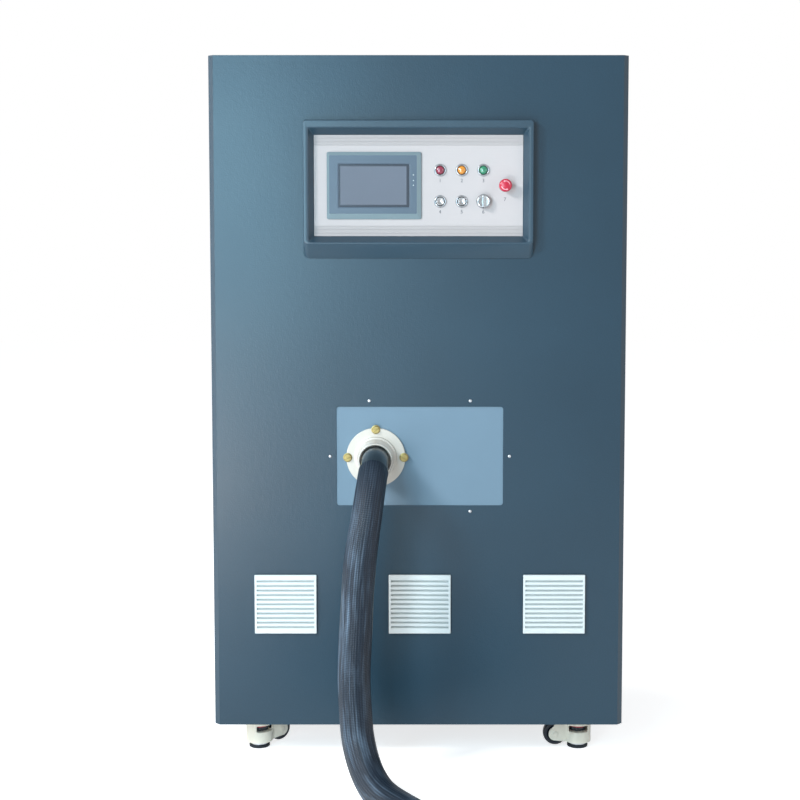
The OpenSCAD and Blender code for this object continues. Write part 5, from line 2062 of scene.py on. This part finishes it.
@dataclass
class Casters:
    """The four levelling casters with their forks, wheels, feet and dials."""

    places: dict[str, tuple[float, float, float]] = field(default_factory=lambda: {
        "front_left": (-0.393, -0.240, -140.0), "front_right": (0.393, -0.240, 0.0),
        "rear_left": (-0.393, 0.260, 90.0), "rear_right": (0.393, 0.260, 40.0),
    })
    trail: float = 0.056
    axle_z: float = 0.034
    wheel_r: float = 0.0295
    tall: float = 0.6
    voxel: float = 0.0013
    kept_faces: float = 0.35
    stem_r: float = 0.0070
    thread: float = 0.0018

    def build(self, machine: Machine) -> None:
        """Builds the plates and each caster.

        Args:
            machine: The machine.
        """
        machine.dress("caster_plates", (Slot.ZINC,), 0.0007)
        for name, (x, y, turn) in self.places.items():
            place = standing(x, y, 0.0, turn)
            self.fork(machine, name)
            self.wheel(machine, name, place)
            self.foot(machine, name, place)
            machine.dress(name + "_dial", (Slot.DIAL,), 0.0007)

    def fork(self, machine: Machine, name: str) -> None:
        """Builds the cast fork: a smoothed copy of its solid, with its axle.

        Args:
            machine: The machine.
            name: The caster's name, such as front_left.
        """
        node = name + "_fork"
        low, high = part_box(node)
        tall = (high[2] - low[2]) * self.tall
        casting = machine.copied(node, keep=lambda low, high: high.z - low.z > tall)
        cast = shown(name + "_casting", casting, (Slot.IVORY,))
        remesh = cast.modifiers.new("Cast", "REMESH")
        remesh.mode, remesh.voxel_size, remesh.adaptivity = "VOXEL", self.voxel, 0.0
        remesh.use_smooth_shade = True
        smooth = cast.modifiers.new("Smooth", "SMOOTH")
        smooth.factor, smooth.iterations = 0.5, 7
        cast.modifiers.new("Thin", "DECIMATE").ratio = self.kept_faces
        evaluated(cast)
        cast.data.materials.clear()
        cast.data.materials.append(coat(Slot.IVORY))
        cast.data.shade_smooth()
        rod = machine.copied(node, keep=lambda low, high: high.z - low.z <= tall)
        axle = softened(shown(name + "_axle", rod, (Slot.ZINC,)), 0.0006)
        machine.settle(joined(name + "_cast_fork", [cast, axle]), machine.body_of(node), (node,))

    def wheel(self, machine: Machine, name: str, place: Matrix) -> None:
        """Builds the wheel: a rounded tread on a dished hub.

        Args:
            machine: The machine.
            name: The caster's name, such as front_left.
            place: Where the caster stands, with its turn.
        """
        spin = place @ Matrix.Translation((-self.trail, 0, self.axle_z)) @ turned_by(90, "X")
        r = self.wheel_r
        half = [
            (0.0043, 0.0118), (0.0090, 0.0118), (0.0100, 0.0108), (0.0110, 0.0090), (0.0185, 0.0090),
            (0.0200, 0.0104), (0.0208, 0.0118), (0.0250, 0.0120), (r - 0.0020, 0.0108), (r - 0.0005, 0.0080),
            (r, 0.0040),
        ]
        form = Form().turned(half + [(a, -b) for a, b in reversed(half)], spin, closed=True, steps=64)
        machine.make(name + "_roller", form, (Slot.NYLON,), name + "_wheel")

    def foot(self, machine: Machine, name: str, place: Matrix) -> None:
        """Builds the levelling foot: a rubber pad, its steel cup and the threaded stem.

        Args:
            machine: The machine.
            name: The caster's name, such as front_left.
            place: Where the caster stands, with its turn.
        """
        node = name + "_foot"
        rubber = [(0, 0.0), (0.0240, 0.0), (0.0253, 0.0010), (0.0255, 0.0055), (0.0246, 0.0074)]
        profile = rubber + [(0.0212, 0.0080), (0.0210, 0.0086), (0.0208, 0.0116), (0.0200, 0.0120), (0.0074, 0.0120)]
        z, top = 0.0125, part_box(node)[1][2] - 0.0002
        while z < top - 0.0011:
            profile += [(self.stem_r, z), (self.stem_r - 0.0008, z + self.thread / 2)]
            z += self.thread
        profile += [(self.stem_r - 0.0010, top), (0, top)]
        marks = [0] * len(rubber) + [1] * (len(profile) - len(rubber) - 1)
        form = Form().turned(profile, place, marks=marks, steps=40)
        machine.make(name + "_pad", form, (Slot.FOOT, Slot.ZINC), node)


@dataclass
class Shell:
    """The cabinet's sheets, frame, rear door, hinges, lock, fan and mains gland."""

    fan_z: float = 1.456
    fan_r: float = 0.118
    fan_back: float = 0.360
    fan_inside: float = 0.35
    hinge_edge: float = -0.36
    hinge_width: float = 0.06
    guard_rings: int = 5
    wire: float = 0.00175

    def build(self, machine: Machine) -> None:
        """Builds every piece of the shell.

        Args:
            machine: The machine.
        """
        machine.dress("front_panel", (Slot.CABINET,), 0.0012, "front_sheet")
        machine.dress("left_side_panel", (Slot.CABINET,), 0.0008, "left_side_sheet")
        machine.dress("right_side_panel", (Slot.CABINET,), 0.0008, "right_side_sheet")
        machine.dress("top_cover", (Slot.CABINET,), 0.0012, "top_sheet")
        machine.dress(
            "rear_door", (Slot.CABINET, Slot.ZINC), 0.0008, "rear_leaf",
            pick=lambda low, high: int(high.x < self.hinge_edge and high.x - low.x < self.hinge_width),
        )
        machine.dress("base_plate", (Slot.CABINET,), 0.0008)
        machine.paint("frame", Slot.FRAME)
        machine.dress("door_hinges", (Slot.ZINC,), 0.0006)
        machine.dress("door_lock", (Slot.ZINC,), 0.0010, "door_handle")
        machine.dress("mains_gland", (Slot.BLACK,), 0.0009)
        self.fan(machine)

    def fan(self, machine: Machine) -> None:
        """Builds the fan's body, its rotor and the wire guard.

        Args:
            machine: The machine.
        """
        slots = (Slot.FAN, Slot.ZINC)
        housing = machine.copied("fan_frame", keep=lambda low, high: low.y < self.fan_inside)
        body = softened(shown("fan_body", housing, slots), 0.0008)
        form, wire = Form(), self.wire
        radii = [self.fan_r * k / self.guard_rings for k in range(1, self.guard_rings)] + [self.fan_r + 0.006]
        place = Matrix.Translation((0, self.fan_back + wire, self.fan_z)) @ turned_by(90, "X")
        for radius in radii:
            section = [(radius - wire + a, b) for a, b in arc(wire, 0, 360, 10)[:-1]]
            form.turned(section, place, closed=True, mark=1, steps=72)
        reach = self.fan_r + 0.0035
        rod = [(0, -reach), (wire * 0.9, -reach + 0.0004), (wire * 0.9, reach - 0.0004), (0, reach)]
        for turn in (45, 135):
            form.turned(rod, place @ turned_by(turn, "Z") @ turned_by(90, "Y"), mark=1, steps=12)
        guard = softened(shown("fan_guard", form.mesh("fan_guard"), slots), 0.0)
        whole = joined("fan_housing", [body, guard])
        machine.settle(whole, machine.body_of("fan_frame"), ("fan_frame",))
        machine.dress("fan_rotor", (Slot.FAN,), 0.0006)


@dataclass
class PowerSection:
    """What stands inside the cabinet: plate, heat sink, modules, capacitors, reactor, boards and breaker."""

    dressed: tuple[tuple[str, Slot, float], ...] = (
        ("mounting_plate", Slot.ZINC, 0.0005), ("heatsink", Slot.RAW, 0.0005),
        ("reactor_core", Slot.CORE, 0.0012), ("reactor_winding", Slot.WINDING, 0.0040),
        ("main_breaker", Slot.BLACK, 0.0012), ("breaker_toggle", Slot.WHITE, 0.0009),
    )

    def build(self, machine: Machine) -> None:
        """Builds every piece of the power section.

        Args:
            machine: The machine.
        """
        for node, slot, width in self.dressed:
            machine.dress(node, (slot,), width)
        machine.dress("power_modules", (Slot.BLACK, Slot.BRASS), 0.0009)
        machine.dress("capacitor_bank", (Slot.CAN, Slot.RAW), 0.0016)
        machine.dress("control_board", (Slot.GREEN, Slot.BLACK), 0.0004)


@dataclass(frozen=True)
class Lamp:
    """A soft rectangular lamp, square where it has no height of its own."""

    name: str
    at: Point
    towards: Point
    size: float
    power: float
    height: float = 0.0
    tint: Point = (1, 1, 1)

    def build(self) -> None:
        """Adds the lamp and turns it to what it lights."""
        data = bpy.data.lights.new(self.name, "AREA")
        data.shape, data.size, data.size_y = "RECTANGLE", self.size, self.height or self.size
        data.energy, data.color = self.power, self.tint
        made = in_scene(self.name, data)
        made.location = self.at
        made.rotation_euler = (Vector(self.towards) - Vector(self.at)).to_track_quat("-Z", "Y").to_euler()


@dataclass
class Studio:
    """The pale floor, the soft lights and the camera."""

    camera_at: Point = (0.0, -3.8663, 1.251)
    tilt: float = 85.42
    lens: float = 67.5
    sensor: float = 36.0
    shift: tuple[float, float] = (-0.0231, -0.0519)
    floor_tone: float = 0.80
    floor_glow: float = 0.72
    surround: float = 0.36
    lamps: tuple[Lamp, ...] = (
        Lamp("Key", (-2.9, -3.4, 3.1), (0, -0.3, 0.9), 0.8, 120.0),
        Lamp("Sheen", (-0.88, -2.86, 1.52), (-0.88, 0.0, 1.52), 0.72, 33.0, 1.35, (0.44, 0.80, 1.0)),
        Lamp("Wash", (-0.55, -3.0, 1.15), (-0.50, 0.0, 1.15), 1.3, 7.0, 1.9, (0.86, 0.95, 0.90)),
        Lamp("Low", (-1.3, -3.3, 0.30), (0, -0.3, 0.05), 0.5, 24.0),
        Lamp("Fill", (3.0, -2.6, 1.6), (0, 0, 0.8), 1.6, 14.0),
        Lamp("Left window", (-3.0, -0.55, 1.2), (0, -0.35, 1.0), 0.5, 30.0, 2.4),
        Lamp("Right window", (3.0, -0.75, 1.2), (0, -0.35, 1.0), 0.3, 2.5, 2.4),
        Lamp("Back", (-2.6, 3.0, 2.2), (0, 0, 0.9), 1.6, 42.0),
    )

    def build(self) -> None:
        """Sets the camera, the floor, the world and the lights."""
        scene = bpy.context.scene
        scene.view_settings.view_transform = "Standard"
        data = bpy.data.cameras.new("Camera")
        data.lens, data.sensor_width = self.lens, self.sensor
        data.shift_x, data.shift_y = self.shift
        camera = in_scene("Camera", data)
        camera.location = self.camera_at
        camera.rotation_euler = (math.radians(self.tilt), 0, 0)
        scene.camera = camera
        self.floor()
        self.world()
        for lamp in self.lamps:
            lamp.build()

    def seen(self, bench: Bench) -> Signal:
        """Tells the rays that show the background: from the camera, a reflection or a glass.

        Args:
            bench: The material's or world's bench.

        Returns:
            1 on those rays, otherwise 0.
        """
        path = bench.node("ShaderNodeLightPath")
        rays = [Signal(bench, path.outputs[k]) for k in ("Is Camera Ray", "Is Glossy Ray", "Is Transmission Ray")]
        return rays[0].larger(rays[1]).larger(rays[2])

    def floor(self) -> None:
        """Adds the pale floor, which keeps the machine's shadow."""
        mesh = bpy.data.meshes.new("Floor")
        mesh.from_pydata([(-9, -9, 0), (9, -9, 0), (9, 14, 0), (-9, 14, 0)], [], [(0, 1, 2, 3)])
        made = in_scene("Floor", mesh)
        material = bpy.data.materials.new("Pale floor")
        material.use_nodes = True
        material.node_tree.nodes.clear()
        bench = Bench(material.node_tree)
        matte = bench.node("ShaderNodeBsdfDiffuse", {}, {"Color": (self.floor_tone,) * 3 + (1,)})
        glow = bench.node(
            "ShaderNodeEmission", {}, {"Color": (1, 1, 1, 1), "Strength": self.seen(bench) * self.floor_glow}
        )
        both = bench.node("ShaderNodeAddShader", {}, {0: matte.outputs[0], 1: glow.outputs[0]})
        bench.node("ShaderNodeOutputMaterial", {}, {"Surface": both.outputs[0]})
        mesh.materials.append(material)

    def world(self) -> None:
        """Sets the soft surrounding light and the white background."""
        world = bpy.data.worlds.new("Studio")
        bpy.context.scene.world = world
        world.use_nodes = True
        world.node_tree.nodes.clear()
        bench = Bench(world.node_tree)
        soft = bench.node("ShaderNodeBackground", {}, {"Color": (0.95, 0.97, 1.0, 1), "Strength": self.surround})
        white = bench.node("ShaderNodeBackground", {}, {"Color": (1, 1, 1, 1), "Strength": 1.0})
        both = bench.node(
            "ShaderNodeMixShader", {}, {0: self.seen(bench), 1: soft.outputs[0], 2: white.outputs[0]}
        )
        bench.node("ShaderNodeOutputWorld", {}, {"Surface": both.outputs[0]})


def main() -> None:
    """Builds the machine's looks in order."""
    logging.basicConfig(level=logging.INFO, format="%(name)s: %(message)s")
    machine = Machine(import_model())
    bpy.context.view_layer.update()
    Studio().build()
    Cable().build(machine)
    Shell().build(machine)
    Console().build(machine)
    Outlet().build(machine)
    Grilles().build(machine)
    Casters().build(machine)
    PowerSection().build(machine)
    log.info("%d pieces are in place", machine.count)


if __name__ == "__main__":
    main()
